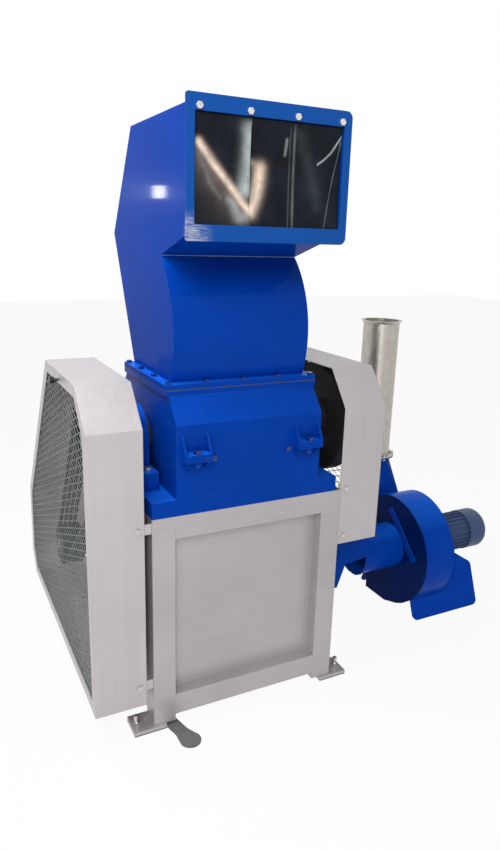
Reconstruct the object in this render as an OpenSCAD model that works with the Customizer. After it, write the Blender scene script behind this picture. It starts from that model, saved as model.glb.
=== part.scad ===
// Plastic granulator: a rotor with three rows of knives cuts scrap against two fixed
// knives over a perforated screen, and a blower draws the granules away.
// Millimetres, +Z up, X along the rotor shaft, the feed mouth faces -Y.
// The origin lies on the floor, midway between the four foot holes, below the rotor.

/* [Stand] */
// Width of the stand across its legs
stand_w = 682; // [660:2:720]
// Depth of the stand, which the cutting chamber shares
stand_d = 560; // [540:2:600]
// Height of the stand's top above the floor
stand_h = 750; // [730:2:780]
// Height of the frame's lower edge above the floor
floor_gap = 40; // [34:1:50]
// Side of the square frame tube
tube_w = 75; // [65:1:85]
// Wall of the frame tube
tube_t = 5; // [3:0.5:8]
// Thickness of the sheet panels in the frame
panel_t = 4; // [2:0.5:6]
// Depth of the panels behind the frame's outer face
panel_recess = 43; // [30:1:55]

/* [Feet] */
// Length of a foot plate
foot_l = 110; // [100:1:125]
// Width of a foot plate
foot_w = 90; // [80:1:110]
// Thickness of a foot plate
foot_t = 12; // [8:1:16]
// How far a foot plate reaches out beside the stand
foot_reach = 68; // [64:1:80]
// Thickness of the rubber pads
pad_t = 4; // [3:0.5:6]
// Radius of the anchor holes
anchor_r = 7; // [5:0.5:8]
// Radius of the levelling screws
level_r = 8; // [6:0.5:9]

/* [Base] */
// Thickness of the base plate
base_t = 53; // [45:1:60]
// Setback of the base plate's right end from the stand
base_inset = 24; // [18:1:30]

/* [Chamber] */
// Width of the cutting chamber
chamber_w = 506; // [496:2:512]
// Ledge between the stand's left side and the chamber
ledge_w = 79; // [76:1:84]
// Height of the rotor axis above the base plate
axis_h = 137; // [134:1:142]
// Height of the upper chamber's upright faces
knee_h = 96; // [86:1:106]
// Height of the upper chamber above the rotor axis
top_h = 172; // [168:1:184]
// How far the slanted faces lean in
slope_in = 64; // [50:1:70]
// Thickness of the side walls
side_t = 25; // [20:1:30]
// Thickness of the front and rear walls
wall_t = 20; // [15:1:24]
// Thickness of the chamber's and the hopper's flange
flange_t = 16; // [10:1:20]
// Thickness of the gasket between the flanges
gasket_t = 3; // [2:0.5:4]
// How far the flanges stand out sideways
flange_lip = 10; // [6:1:14]

/* [Rotor] */
// Radius that the knife edges sweep
cut_r = 150; // [146:0.5:151]
// Gap between moving and fixed edges
knife_gap = 1.5; // [1:0.1:2]
// Radius of the rotor shaft
shaft_r = 40; // [34:1:44]
// Number of rotor discs
disc_count = 5; // [4:1:6]
// Thickness of a rotor disc
disc_t = 28; // [22:1:32]
// Number of knife rows
knife_rows = 3; // [2:1:3]
// Width of a rotor knife
knife_w = 76; // [70:1:80]
// Thickness of every knife
knife_t = 18; // [15:1:20]
// Width of a fixed knife
bed_w = 90; // [84:1:94]

/* [Screen] */
// Gap between the swept circle and the screen
screen_gap = 7; // [5:0.5:9]
// Thickness of the screen
screen_t = 6; // [4:0.5:8]
// Radius of the screen holes
hole_r = 8; // [5:0.5:9]

/* [Bearings] */
// Width of a bearing housing
bearing_w = 50; // [44:1:52]
// Gap between the chamber and a bearing housing
bearing_gap = 20; // [18:1:21]
// Radius of the housing's round part
housing_r = 105; // [95:1:115]
// Height of the housing's foot
housing_foot_h = 58; // [48:1:66]
// Length of the housing's foot
housing_foot_l = 350; // [320:2:380]

/* [Belt drive] */
// Radius of the driven pulley
pulley_r = 190; // [170:1:200]
// Radius of the motor pulley
motor_pulley_r = 80; // [70:1:90]
// Number of belts
belt_count = 4; // [3:1:5]
// Distance of the motor shaft behind the rotor shaft
motor_y = 540; // [525:1:570]
// Height of the motor shaft above the floor
motor_z = 335; // [330:1:350]
// Radius of the flywheel
flywheel_r = 203; // [190:1:206]
// Width of the flywheel's rim
flywheel_w = 60; // [50:1:66]

/* [Guards] */
// Width of the belt guard
belt_guard_w = 168; // [160:1:180]
// Gap between the stand and the belt guard
belt_guard_gap = 24; // [18:1:28]
// Width of the flywheel guard
fly_guard_w = 167; // [150:1:180]
// Thickness of the guard sheet
guard_t = 3; // [2:0.5:4]
// Height of the guards' tops above the floor
guard_top = 1157; // [1150:1:1170]
// Width of the border round the mesh
mesh_border = 38; // [30:1:48]
// Spacing of the mesh strands
mesh_pitch = 52; // [46:1:60]
// Width of a mesh strand
strand_w = 4; // [3:0.5:6]

/* [Hopper] */
// Width of the hopper
hopper_w = 466; // [460:1:470]
// Thickness of the hopper sheet
hopper_t = 4; // [3:0.5:5]
// Height of the hopper's top above the floor
hopper_top = 1915; // [1900:1:1930]
// Height of the feed mouth's flange
mouth_h = 365; // [350:1:368]
// Distance of the feed mouth in front of the rotor axis
mouth_y = 353; // [340:1:366]
// Radius of the rounded belly
belly_r = 334; // [326:1:350]

/* [Curtain] */
// Thickness of the curtain strips
strip_t = 3; // [2:0.5:4]
// How far a strip hangs below the mouth's opening
strip_extra = 9; // [6:0.5:11]

/* [Blower] */
// Distance of the blower's side plate from the stand's centre
blower_x = 885; // [870:1:900]
// Distance of the blower axis behind the rotor axis
blower_y = 90; // [84:1:96]
// Height of the blower axis above the floor
blower_z = 280; // [276:1:290]
// Width of the blower casing
blower_w = 150; // [140:1:160]
// Smallest casing radius, over the tongue
scroll_r = 211; // [205:1:213]
// Growth of the casing radius in each quarter turn
scroll_step = 24; // [22:0.5:24]
// Outer radius of the inlet pipe
inlet_r = 98; // [90:1:100]
// Outer radius of the discharge pipe
pipe_r = 80; // [76:1:84]
// Height of the discharge pipe's top
pipe_top = 1242; // [1200:1:1260]
// Thickness of the blower and duct sheet
duct_t = 3; // [2:0.5:4]
// Height of the blower motor's shaft above its seat
fan_motor_h = 90; // [90:0.5:94]

/* [Motor] */
// Radius over the main motor's fins
motor_r = 160; // [150:1:164]
// Length of the main motor's body
motor_l = 500; // [480:1:510]
// Height of the motor shaft above its feet
motor_foot_h = 160; // [160:1:168]

/* [Hidden] */
$fn = 64;

// Overrun of cuts, seat gap between separate pieces, and running clearance of shafts
cut = 1;
seat = 0.3;
run = 0.05;

// Sides and levels that the pieces share
left_x = -stand_w / 2;
right_x = stand_w / 2;
front_y = -stand_d / 2;
back_y = stand_d / 2;
base_top = stand_h + base_t;
axis_z = base_top + axis_h;
chamber_x0 = left_x + ledge_w;
chamber_x1 = chamber_x0 + chamber_w;
chamber_cx = (chamber_x0 + chamber_x1) / 2;
inner_x0 = chamber_x0 + side_t;
inner_x1 = chamber_x1 - side_t;
leg_x = right_x - tube_w / 2;
leg_y = back_y - tube_w / 2;
chamber_top = axis_z + top_h;
hopper_base = chamber_top + 2 * flange_t + gasket_t;

// Fasteners: radius of the shank, width across the flats as a radius, height of the head
m10_r = 5;
m10_head_r = 9.8;
m10_head_h = 7;
m16_r = 8;
m16_head_r = 13.9;
m16_head_h = 10;
bolt_clear = 0.3;

// Feet
anchor_out = 22;
anchor_x = right_x + anchor_out;
level_in = 18;
level_x = right_x + foot_reach - level_in;
level_h = 44;
pad_clear = 1;
pad_hole_r = anchor_r + pad_clear;
strip_len = 170;
strip_turn = 15;
strip_width = 70;
strip_waist = 46;

// Fixed knives and their seats
bed_edge = cut_r + knife_gap;
bed_bevel = 6;
bed_drop = 7;
bed_top = axis_z - bed_drop;
seat_top = bed_top - knife_t;
seat_t = 40;
screen_ri = cut_r + screen_gap;
screen_ro = screen_ri + screen_t;
screen_end = 20;
wall_bore_r = shaft_r + 2;
bed_screw_x_share = 0.36;
push_screw_x = 130;
base_hole_gap = 12;
base_hole_y = screen_ro + base_hole_gap;
cradle_h = 18;
cradle_rib_t = 12;
hole_columns = 13;
hole_rows = 9;

// Clamps and hinges between the two chamber halves
parting = 0.3;
clamp_x = 195;
clamp_w = 90;
clamp_out = 40;
clamp_plate_t = 12;
clamp_rib_t = 8;
upper_rib_h = 50;
lower_rib_h = 28;
clamp_bolt_out = 24;
clamp_bolt_y = front_y - clamp_bolt_out;
clamp_clear = 0.5;
clamp_hole_r = m16_r + clamp_clear;
clamp_free = 1.5;
clamp_free_r = m16_r + clamp_free;
clamp_nut_h = 13;
hinge_x = 200;
hinge_out = 22;
hinge_y = back_y + hinge_out;
knuckle_r = 18;
knuckle_w = 30;
knuckle_gap = 0.5;
hinge_pin_r = 9;

// Flange and gasket outline
flange_step = 2;
flange_front = front_y + slope_in + flange_step;
flange_x0 = chamber_x0 - flange_lip;
flange_x1 = chamber_x1 + flange_lip;
flange_bolt_in = 14;

// Hopper side outline, from shares of its height and the mouth's place
hopper_x0 = chamber_cx - hopper_w / 2;
hopper_x1 = chamber_cx + hopper_w / 2;
belly_foot_y = 178;
belly_foot = [-belly_foot_y, hopper_base];
belly_head_y = 94;
belly_h = 375;
belly_head = [-belly_head_y, hopper_base + belly_h];
mouth_t = 8;
mouth_back = mouth_t - mouth_y;
mouth_duct_h = 321;
mouth_floor_z = hopper_top - mouth_duct_h;
crown_back = 187;
bulge_y = 411;
bulge_drop = 331;
bulge_back = [bulge_y, hopper_top - bulge_drop];
throat_back = 192;
mouth_over = 16;
mouth_z1 = hopper_top + mouth_over;
mouth_z0 = mouth_z1 - mouth_h;
mouth_sill = 44;
opening_z0 = mouth_z0 + mouth_sill;
mouth_head = 26;
opening_z1 = hopper_top - mouth_head;
mouth_bolt_pitch = 145;

// Curtain: clamp bar, gaps between strips, the seams as shares of the width, hinge line
bar_t = 6;
bar_h = mouth_head - hopper_t;
strip_gap = 1;
seam_shares = [0.3691, 0.6395];
seam_a = hopper_x0 + hopper_t + seam_shares[0] * (hopper_w - 2 * hopper_t);
seam_b = hopper_x0 + hopper_t + seam_shares[1] * (hopper_w - 2 * hopper_t);
strip_seat = 0.4;
strip_axis_z = opening_z1 - strip_seat - strip_t / 2;

// Bearings
housing_cap_w = 36;
ring_r = 65;
ring_w = 40;
bearing_bolt_y = 140;

// Rotor
rotor_clear = 3;
disc_r = 132;
knife_tilt = 38;
hub_r = 66;
collar_r = 60;
collar_w = 12;
shaft_step = 4;
shaft_step_r = shaft_r - shaft_step;
rotor_x0 = inner_x0 + rotor_clear;
rotor_x1 = inner_x1 - rotor_clear;

// Pulleys and belts
groove_pitch = 19;
belt_h = 11;
belt_w = 13;
belt_lift = 1;
belt_gap = 0.4;
belt_ease = 0.03;
groove_depth = belt_h - belt_lift + belt_gap;
groove_flare = 0.6;
groove_w = belt_w + 2 * belt_gap + 2 * groove_flare;
pulley_edge = 3;
pulley_w = groove_pitch * belt_count + 2 * pulley_edge;
guard_in_x = left_x - belt_guard_gap;
guard_out_x = guard_in_x - belt_guard_w;
pulley_in = 20;
pulley_x1 = guard_in_x - pulley_in;
pulley_x0 = pulley_x1 - pulley_w;
pulley_rim = 34;
pulley_web = 20;
motor_shaft_r = 24;
fly_guard_gap = 3;
fly_guard_x0 = right_x + fly_guard_gap;
fly_guard_x1 = fly_guard_x0 + fly_guard_w;
flywheel_in = 41;
flywheel_x0 = fly_guard_x0 + flywheel_in;
flywheel_x1 = flywheel_x0 + flywheel_w;
flywheel_rim = 40;
flywheel_web = 24;
shaft_end = 10;
shaft_x0 = pulley_x0 - shaft_end;
shaft_x1 = flywheel_x1 + shaft_end;

// Guard outlines in the plane across the shaft
guard_foot = 108;
guard_heel_y = 790;
guard_rear_y = 850;
guard_rear_z = 200;
guard_shoulder_y = 820;
guard_shoulder_z = 500;
guard_crown_y = 274;
guard_corner_y = 109;
guard_corner_z = 121;
belt_guard_line = [[front_y, guard_foot], [guard_heel_y, guard_foot],
    [guard_rear_y, guard_rear_z], [guard_shoulder_y, guard_shoulder_z],
    [guard_crown_y, guard_top], [front_y + guard_corner_y, guard_top],
    [front_y, guard_top - guard_corner_z]];
fly_guard_foot = 539;
fly_set = 8;
fly_back = 345;
fly_corner_y = 95;
fly_front = front_y + fly_set;
fly_guard_line = [[fly_front, fly_guard_foot], [fly_back, fly_guard_foot],
    [fly_back, guard_top - guard_corner_z], [fly_back - fly_corner_y, guard_top],
    [fly_front + fly_corner_y, guard_top], [fly_front, guard_top - guard_corner_z]];
shaft_hole_r = 70;
mesh_t = 2;
mesh_lap = 8;
mesh_frame_w = 12;
mesh_turn = 32;
mesh_centre = [guard_crown_y, (guard_foot + guard_top) / 2];
mesh_reach = 2 * guard_rear_y;
mesh_strands = ceil(mesh_reach / mesh_pitch / 2);
bracket_t = 6;
bracket_w = 34;
bracket_in = 22;
bracket_tip = 16;
bracket_shares = [0.236, 0.961];
bracket_z = stand_h * bracket_shares;
fly_bracket_shares = [0.05, 0.338];
fly_bracket_z = [for (k = fly_bracket_shares) fly_guard_foot + (guard_top - fly_guard_foot) * k];
screw_tip = 2;
knob_in_y = 338;
knob_stem_l = 14;

// Main motor
motor_x0 = -300;
motor_x1 = motor_x0 + motor_l;
fin_count = 32;
fin_h = 16;
fin_t = 4;
motor_bell_l = 60;
motor_cowl_l = 95;
motor_foot_pitch = 254;
motor_foot_w = 50;
motor_foot_t = 15;
motor_rail_h = 60;
motor_rail_w = 60;
rail_bolt_r = 7;
bed_rear = 210;
bed_end = motor_y + bed_rear;
motor_foot_set = 40;
motor_cowl_lip = 2;
box_hw = 75;
box_h = 70;
box_lid_t = 8;
box_lid_lip = 4;

// Ducts and blower
duct_hw = 100;
duct_z0 = 190;
duct_z1 = 420;
duct_step_x = 545;
duct_rise_x = 580;
duct_rise_z = 288;
duct_neck_z = 303;
duct_plate_t = 8;
inlet_l = 122;
inlet_x0 = blower_x - inlet_l;
plate_t = 6;
casing_x0 = blower_x + plate_t;
casing_x1 = blower_x + blower_w;
scroll_off_y = 10;
scroll_off_z = 8;
scroll_c = [blower_y - scroll_off_y, blower_z - scroll_off_z];
scroll_out_w = 150;
outlet_z = 450;
scroll_rear = scroll_c[0] + scroll_step + scroll_r + 3 * scroll_step;
pipe_cx = (casing_x0 + casing_x1) / 2;
pipe_cy = 371;
hood_top = 617;
hood_flange_t = 6;
hood_collar_h = 16;
hood_flange_w = 22;
pipe_rim_w = 12;
pipe_rim_r = pipe_r + pipe_rim_w;
pipe_rim_h = 12;
side_foot_y0 = 130;
side_foot_y1 = 144;
side_flare = 90;
brace_l = 256;
brace_w = 28;
brace_t = 6;
brace_gap = 1;
brace_turn = 45;
ped_l = 370;
ped_x1 = blower_x + ped_l;
ped_z = blower_z - fan_motor_h;
ped_top = 126;
ped_foot = 198;
fan_gap = 6;
fan_motor_x0 = casing_x1 + fan_gap;
fan_body_l = 245;
fan_body_r = 78;
fan_fin_h = 11;
fan_fin_t = 3;
fan_cowl_l = 105;
fan_shaft_r = 12;
fan_hole_gap = 10;
fan_fin_count = 26;
fan_cowl_lip = 1;
impeller_r = 175;
impeller_w = 90;
blade_count = 8;
blade_t = 4;
impeller_in = 20;
impeller_hub_l = 40;

// Helpers

function unit(v) = v / norm(v);

// Polygon drawn in by d, for a list of points that runs counter-clockwise
function inset(p, d) = [for (i = [0 : len(p) - 1])
    let (a = p[(i + len(p) - 1) % len(p)], b = p[i], c = p[(i + 1) % len(p)],
        u = unit(b - a), v = unit(c - b), m = [-u[1], u[0]], n = [-v[1], v[0]])
    b + (m + n) * d / (1 + m * n)];

// Extrudes an outline of the Y-Z plane from x0 to x1
module along_x(x0, x1) {
    translate([x0, 0, 0]) rotate([90, 0, 90]) linear_extrude(x1 - x0) children();
}

// Round bar along X between x0 and x1
module bar_x(x0, x1, r, y = 0, z = axis_z) {
    translate([x0, y, z]) rotate([0, 90, 0]) cylinder(h = x1 - x0, r = r);
}

// Round bar along Y between y0 and y1
module bar_y(y0, y1, r, x, z) {
    translate([x, y0, z]) rotate([-90, 0, 0]) cylinder(h = y1 - y0, r = r);
}

// Block between two corners
module block(a, b) {
    translate(a) cube(b - a);
}

// Square outline between two corners
module square_to(a, b) {
    translate(a) square(b - a);
}

// Square tube wall along Z, standing on z0
module tube_z(x, y, z0, z1) {
    w = tube_w / 2;
    difference() {
        block([x - w, y - w, z0], [x + w, y + w, z1]);
        block([x - w + tube_t, y - w + tube_t, z0 - cut], [x + w - tube_t, y + w - tube_t, z1 + cut]);
    }
}

// Hexagon head with its flat underside at z0
module hex_z(x, y, z0, h, r) {
    translate([x, y, z0]) cylinder(h = h, r = r, $fn = 6);
}

// Hexagon head along Y with its underside at y0, growing towards dir
module hex_y(x, y0, z, h, r, dir) {
    translate([x, y0, z]) rotate([dir * -90, 0, 0]) cylinder(h = h, r = r, $fn = 6);
}

// Stand

module stand_legs() {
    color("silver") for (sx = [-1, 1], sy = [-1, 1])
        tube_z(sx * leg_x, sy * leg_y, floor_gap, stand_h);
}

module rail_profile() {
    difference() {
        square([tube_w, tube_w], center = true);
        square([tube_w - 2 * tube_t, tube_w - 2 * tube_t], center = true);
    }
}

module stand_rails() {
    span_x = right_x - tube_w;
    span_y = back_y - tube_w;
    color("silver") for (z = [floor_gap + tube_w / 2, stand_h - tube_w / 2]) {
        for (sy = [-1, 1])
            along_x(-span_x, span_x) translate([sy * leg_y, z]) rail_profile();
        for (sx = [-1, 1])
            translate([sx * leg_x, span_y, z]) rotate([90, 0, 0])
                linear_extrude(2 * span_y) rail_profile();
    }
}

module front_panel() {
    w = right_x - tube_w;
    color("lightgray")
        block([-w, front_y + panel_recess, floor_gap + tube_w],
            [w, front_y + panel_recess + panel_t, stand_h - tube_w]);
}

module side_panels() {
    w = back_y - tube_w;
    x = right_x - panel_recess;
    z0 = floor_gap + tube_w;
    z1 = stand_h - tube_w;
    color("lightgray") {
        block([-x, -w, z0], [-x + panel_t, w, z1]);
        difference() {
            block([x - panel_t, -w, z0], [x, w, z1]);
            block([x - panel_t - cut, blower_y - duct_hw - seat, duct_z0 - seat],
                [x + cut, blower_y + duct_hw + seat, duct_z1 + seat]);
        }
    }
}

// Feet

module foot_plates() {
    inner = right_x + foot_reach - foot_l;
    color("silver") for (sx = [0, 1], sy = [0, 1])
        mirror([sx, 0, 0]) mirror([0, sy, 0]) difference() {
            union() {
                block([inner, leg_y - foot_w / 2, pad_t],
                    [right_x + foot_reach, leg_y + foot_w / 2, pad_t + foot_t]);
                block([leg_x - tube_w / 2, leg_y - tube_w / 2, pad_t + foot_t],
                    [right_x, back_y, floor_gap]);
            }
            translate([anchor_x, leg_y, pad_t - cut]) cylinder(h = foot_t + 2 * cut, r = anchor_r);
            translate([level_x, leg_y, pad_t - cut])
                cylinder(h = foot_t + 2 * cut, r = level_r + bolt_clear);
        }
}

module levelling_screws() {
    nut_h = level_r;
    color("gainsboro") for (sx = [-1, 1], sy = [-1, 1]) {
        translate([sx * level_x, sy * leg_y, pad_t]) cylinder(h = level_h, r = level_r);
        hex_z(sx * level_x, sy * leg_y, pad_t + foot_t, nut_h, 1.6 * level_r);
    }
}

module foot_pads() {
    inner = right_x + foot_reach - foot_l;
    color("dimgray") for (sx = [0, 1], sy = [0, 1])
        mirror([sx, 0, 0]) mirror([0, sy, 0]) difference() {
            union() {
                block([inner, leg_y - foot_w / 2, 0],
                    [right_x + foot_reach, leg_y + foot_w / 2, pad_t]);
                if (sx == 1 && sy == 1)
                    translate([leg_x - tube_w / 4, leg_y, 0]) rotate([0, 0, 90 + strip_turn])
                        loose_strip();
            }
            translate([anchor_x, leg_y, -cut]) cylinder(h = pad_t + 2 * cut, r = pad_hole_r);
        }
}

// Uncut end of the rubber strip under the front left foot, with a waist and a round end
module loose_strip() {
    end_r = strip_width / 2;
    linear_extrude(pad_t) {
        translate([strip_len - end_r, 0]) circle(r = end_r);
        polygon([[0, -strip_waist / 2], [strip_len / 2, -strip_waist / 2],
            [strip_len - end_r, -end_r], [strip_len - end_r, end_r],
            [strip_len / 2, strip_waist / 2], [0, strip_waist / 2]]);
    }
}

// Base and lower half of the cutting chamber

module base_plate() {
    color("royalblue") difference() {
        block([left_x, front_y, stand_h], [right_x - base_inset, back_y, base_top]);
        block([inner_x0, -base_hole_y, stand_h - cut], [inner_x1, base_hole_y, base_top + cut]);
    }
}

// Ledge that carries a fixed knife, hollowed to the screen's outer radius
module knife_seat(s) {
    difference() {
        square_to([min(s * (back_y - wall_t + cut), s * screen_ri / 2), seat_top - seat_t],
            [max(s * (back_y - wall_t + cut), s * screen_ri / 2), seat_top]);
        translate([0, axis_z]) circle(r = screen_ro + seat);
    }
}

module lower_chamber() {
    color("royalblue") {
        difference() {
            block([chamber_x0, front_y, base_top], [chamber_x1, back_y, axis_z]);
            along_x(inner_x0, inner_x1) difference() {
                square_to([front_y + wall_t, base_top - cut], [back_y - wall_t, axis_z + cut]);
                knife_seat(1);
                knife_seat(-1);
            }
            bar_x(chamber_x0 - cut, chamber_x1 + cut, wall_bore_r);
            for (s = [-1, 1], x = bed_screw_places())
                translate([x, s * bed_screw_y(), seat_top - seat_t / 2])
                    cylinder(h = seat_t, r = m16_r + bolt_clear);
            for (s = [-1, 1], x = push_screw_places())
                bar_y(s > 0 ? back_y - wall_t - cut : front_y - cut,
                    s > 0 ? back_y + cut : front_y + wall_t + cut,
                    m10_r + bolt_clear, x, (bed_top + seat_top) / 2);
        }
        for (x = clamp_places())
            lower_lug(x);
        for (s = [-1, 1])
            hinge_bracket(chamber_cx + s * hinge_x);
    }
}

function clamp_places() = [chamber_cx - clamp_x, chamber_cx + clamp_x];
function push_screw_places() = [chamber_cx - push_screw_x, chamber_cx + push_screw_x];
function bed_screw_places() = [for (k = [-1, 0, 1])
    chamber_cx + k * bed_screw_x_share * (chamber_w - 2 * side_t)];
function bed_screw_y() = bed_edge + bed_w * 0.6;

// Triangular rib of a clamp lug, its upright edge on the chamber's front face
module clamp_rib(x, z, h) {
    along_x(x - clamp_rib_t / 2, x + clamp_rib_t / 2)
        polygon([[front_y, z], [front_y, z + h], [front_y - clamp_out / 4, z + h],
            [front_y - clamp_out, z]]);
}

module lower_lug(x) {
    z1 = axis_z;
    z0 = z1 - clamp_plate_t;
    difference() {
        union() {
            block([x - clamp_w / 2, front_y - clamp_out, z0], [x + clamp_w / 2, front_y, z1]);
            hex_z(x, clamp_bolt_y, z0 - clamp_nut_h, clamp_nut_h, m16_head_r);
        }
        translate([x, clamp_bolt_y, z0 - clamp_nut_h - cut])
            cylinder(h = clamp_plate_t + clamp_nut_h + 2 * cut, r = clamp_free_r);
    }
    for (s = [-1, 1])
        clamp_rib(x + s * (clamp_w - clamp_rib_t) / 2 * 0.8, z0, -lower_rib_h);
}

// Two outer knuckles of a hinge with their arms on the rear wall
module hinge_bracket(x) {
    for (s = [-1, 1]) {
        x0 = x + s * (knuckle_w + knuckle_gap) - knuckle_w / 2;
        difference() {
            union() {
                bar_x(x0, x0 + knuckle_w, knuckle_r, hinge_y, axis_z);
                block([x0, back_y, axis_z - knuckle_r], [x0 + knuckle_w, hinge_y, axis_z]);
            }
            bar_x(x0 - cut, x0 + knuckle_w + cut, hinge_pin_r + run, hinge_y, axis_z);
        }
    }
}

module hinge_pins() {
    w = 1.5 * knuckle_w + knuckle_gap;
    head_t = hinge_pin_r / 2;
    color("silver") for (s = [-1, 1]) {
        x = chamber_cx + s * hinge_x;
        bar_x(x - w, x + w, hinge_pin_r, hinge_y, axis_z);
        bar_x(x + w, x + w + head_t, hinge_pin_r * 1.4, hinge_y, axis_z);
        bar_x(x - w - head_t, x - w, hinge_pin_r * 1.4, hinge_y, axis_z);
    }
}

// Fixed knives, screen and chute

module bed_knives() {
    color("gainsboro") for (s = [0, 1]) mirror([0, s, 0]) difference() {
        along_x(inner_x0 + seat, inner_x1 - seat)
            polygon([[bed_edge, bed_top], [bed_edge + bed_bevel, seat_top],
                [bed_edge + bed_w, seat_top], [bed_edge + bed_w, bed_top]]);
        for (x = bed_screw_places())
            translate([x, bed_screw_y(), seat_top - cut])
                cylinder(h = knife_t + 2 * cut, r = m16_r + bolt_clear);
    }
}

module bed_knife_screws() {
    z = (bed_top + seat_top) / 2;
    tip = bed_edge + bed_w;
    color("gainsboro") for (s = [-1, 1]) {
        for (x = bed_screw_places()) {
            translate([x, s * bed_screw_y(), seat_top - seat_t / 2])
                cylinder(h = seat_t / 2 + knife_t, r = m16_r);
            hex_z(x, s * bed_screw_y(), bed_top, m16_head_h, m16_head_r);
        }
        for (x = push_screw_places()) {
            bar_y(s > 0 ? tip : -back_y, s > 0 ? back_y : -tip, m10_r, x, z);
            hex_y(x, s * back_y, z, m10_head_h, m10_head_r, s);
        }
    }
}

// Wedge of the Y-Z plane below the axis, from end degrees under the horizontal
module lower_wedge(end, r) {
    polygon([[0, axis_z], [-r * cos(end), axis_z - r * sin(end)], [-r, axis_z - r],
        [0, axis_z - r], [r, axis_z - r], [r * cos(end), axis_z - r * sin(end)]]);
}

module screen() {
    far = 2 * screen_ro;
    span_x = inner_x1 - inner_x0 - 2 * seat;
    span_a = 180 - 2 * screen_end;
    color("dimgray") difference() {
        along_x(inner_x0 + seat, inner_x1 - seat) intersection() {
            translate([0, axis_z]) difference() {
                circle(r = screen_ro);
                circle(r = screen_ri);
            }
            lower_wedge(screen_end, far);
        }
        for (i = [0 : hole_columns - 1], j = [0 : hole_rows - 1])
            translate([inner_x0 + seat + span_x * (i + 0.5) / hole_columns, 0, axis_z])
                rotate([90 - span_a / 2 + span_a * (j + 0.5) / hole_rows - 90, 0, 0])
                    translate([0, 0, -screen_ro - cut])
                        cylinder(h = screen_t + 2 * cut, r = hole_r, $fn = 24);
    }
}

module screen_cradle() {
    r0 = screen_ro + seat;
    r1 = r0 + cradle_h;
    far = 2 * r1;
    span = inner_x1 - inner_x0;
    color("slategray") for (k = [0.15, 0.5, 0.85]) {
        x = inner_x0 + span * k;
        along_x(x - cradle_rib_t / 2, x + cradle_rib_t / 2) {
            intersection() {
                translate([0, axis_z]) difference() {
                    circle(r = r1);
                    circle(r = r0);
                }
                lower_wedge(screen_end + 8, far);
            }
            for (s = [0, 1]) mirror([s, 0]) difference() {
                square_to([r0 * cos(screen_end + 8), axis_z - r1 * 0.5],
                    [r1 + cut, seat_top - seat_t]);
                translate([0, axis_z]) circle(r = r0);
            }
        }
    }
}

module collecting_chute() {
    t = duct_t;
    y0 = blower_y - duct_hw;
    y1 = blower_y + duct_hw;
    x0 = -duct_hw - t;
    x1 = duct_hw;
    color("royalblue") {
        difference() {
            hull() {
                block([inner_x0 - t, -base_hole_y - t, stand_h - t],
                    [inner_x1 + t, base_hole_y + t, stand_h]);
                block([x0, y0, duct_z1], [x1, y1, duct_z1 + t]);
            }
            hull() {
                block([inner_x0, -base_hole_y, stand_h - t], [inner_x1, base_hole_y, stand_h + t]);
                block([x0 + t, y0 + t, duct_z1 - t], [x1 - t, y1 - t, duct_z1 + t]);
            }
        }
        difference() {
            block([x0, y0, duct_z0], [right_x, y1, duct_z1]);
            block([x0 + t, y0 + t, duct_z0 + t], [right_x + t, y1 - t, duct_z1 - t]);
            block([x0 + t, y0 + t, duct_z1 - 2 * t], [x1 - t, y1 - t, duct_z1 + t]);
        }
    }
}

// Bearings

module bearing_housings() {
    for (x = bearing_places()) color("royalblue") difference() {
        union() {
            block([x, -housing_foot_l / 2, base_top],
                [x + bearing_w, housing_foot_l / 2, base_top + housing_foot_h]);
            bar_x(x + (bearing_w - housing_cap_w) / 2, x + (bearing_w + housing_cap_w) / 2,
                housing_r, 0, axis_z);
            block([x + (bearing_w - housing_cap_w) / 2, -housing_r, base_top],
                [x + (bearing_w + housing_cap_w) / 2, housing_r, axis_z]);
        }
        bar_x(x - cut, x + bearing_w + cut, ring_r);
        for (s = [-1, 1])
            translate([x + bearing_w / 2, s * bearing_bolt_y, base_top + cut])
                cylinder(h = housing_foot_h, r = m16_r + bolt_clear);
    }
}

function bearing_places() = [chamber_x0 - bearing_gap - bearing_w, chamber_x1 + bearing_gap];

module bearing_rings() {
    for (x = bearing_places()) color("gainsboro") difference() {
        bar_x(x + (bearing_w - ring_w) / 2, x + (bearing_w + ring_w) / 2, ring_r);
        bar_x(x - cut, x + bearing_w + cut, shaft_r + run);
    }
}

module bearing_bolts() {
    z = base_top + housing_foot_h;
    for (x = bearing_places(), s = [-1, 1]) color("gainsboro") {
        translate([x + bearing_w / 2, s * bearing_bolt_y, base_top + 2 * cut])
            cylinder(h = housing_foot_h, r = m16_r);
        hex_z(x + bearing_w / 2, s * bearing_bolt_y, z, m16_head_h, m16_head_r);
    }
}

// Belt guard, mesh and flywheel guard

module belt_guard() {
    t = guard_t;
    inner = inset(belt_guard_line, t);
    color("silver") difference() {
        along_x(guard_out_x, guard_in_x) polygon(belt_guard_line);
        along_x(guard_out_x + t, guard_in_x - t) polygon(inner);
        along_x(guard_out_x - cut, guard_out_x + t + cut)
            polygon(inset(belt_guard_line, mesh_border));
        bar_x(guard_in_x - t - cut, guard_in_x + cut, shaft_hole_r);
        bar_x(guard_in_x - t - cut, guard_in_x + cut, shaft_hole_r, motor_y, motor_z);
        for (z = bracket_z)
            block([guard_in_x - t - cut, front_y + t - cut, z - bracket_w / 2 - seat],
                [guard_in_x + cut, front_y + t + bracket_t + 2 * seat, z + bracket_w / 2 + seat]);
        for (z = bracket_z)
            bar_y(front_y - cut, front_y + t + cut, m10_r + bolt_clear, guard_screw_x(), z);
        bar_x(guard_out_x - cut, guard_out_x + t + cut, m10_r, knob_place()[0], knob_place()[1]);
    }
}

function guard_screw_x() = guard_in_x - bracket_in;
function knob_place() = [front_y + knob_in_y, guard_top - mesh_border * 0.7];

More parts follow.
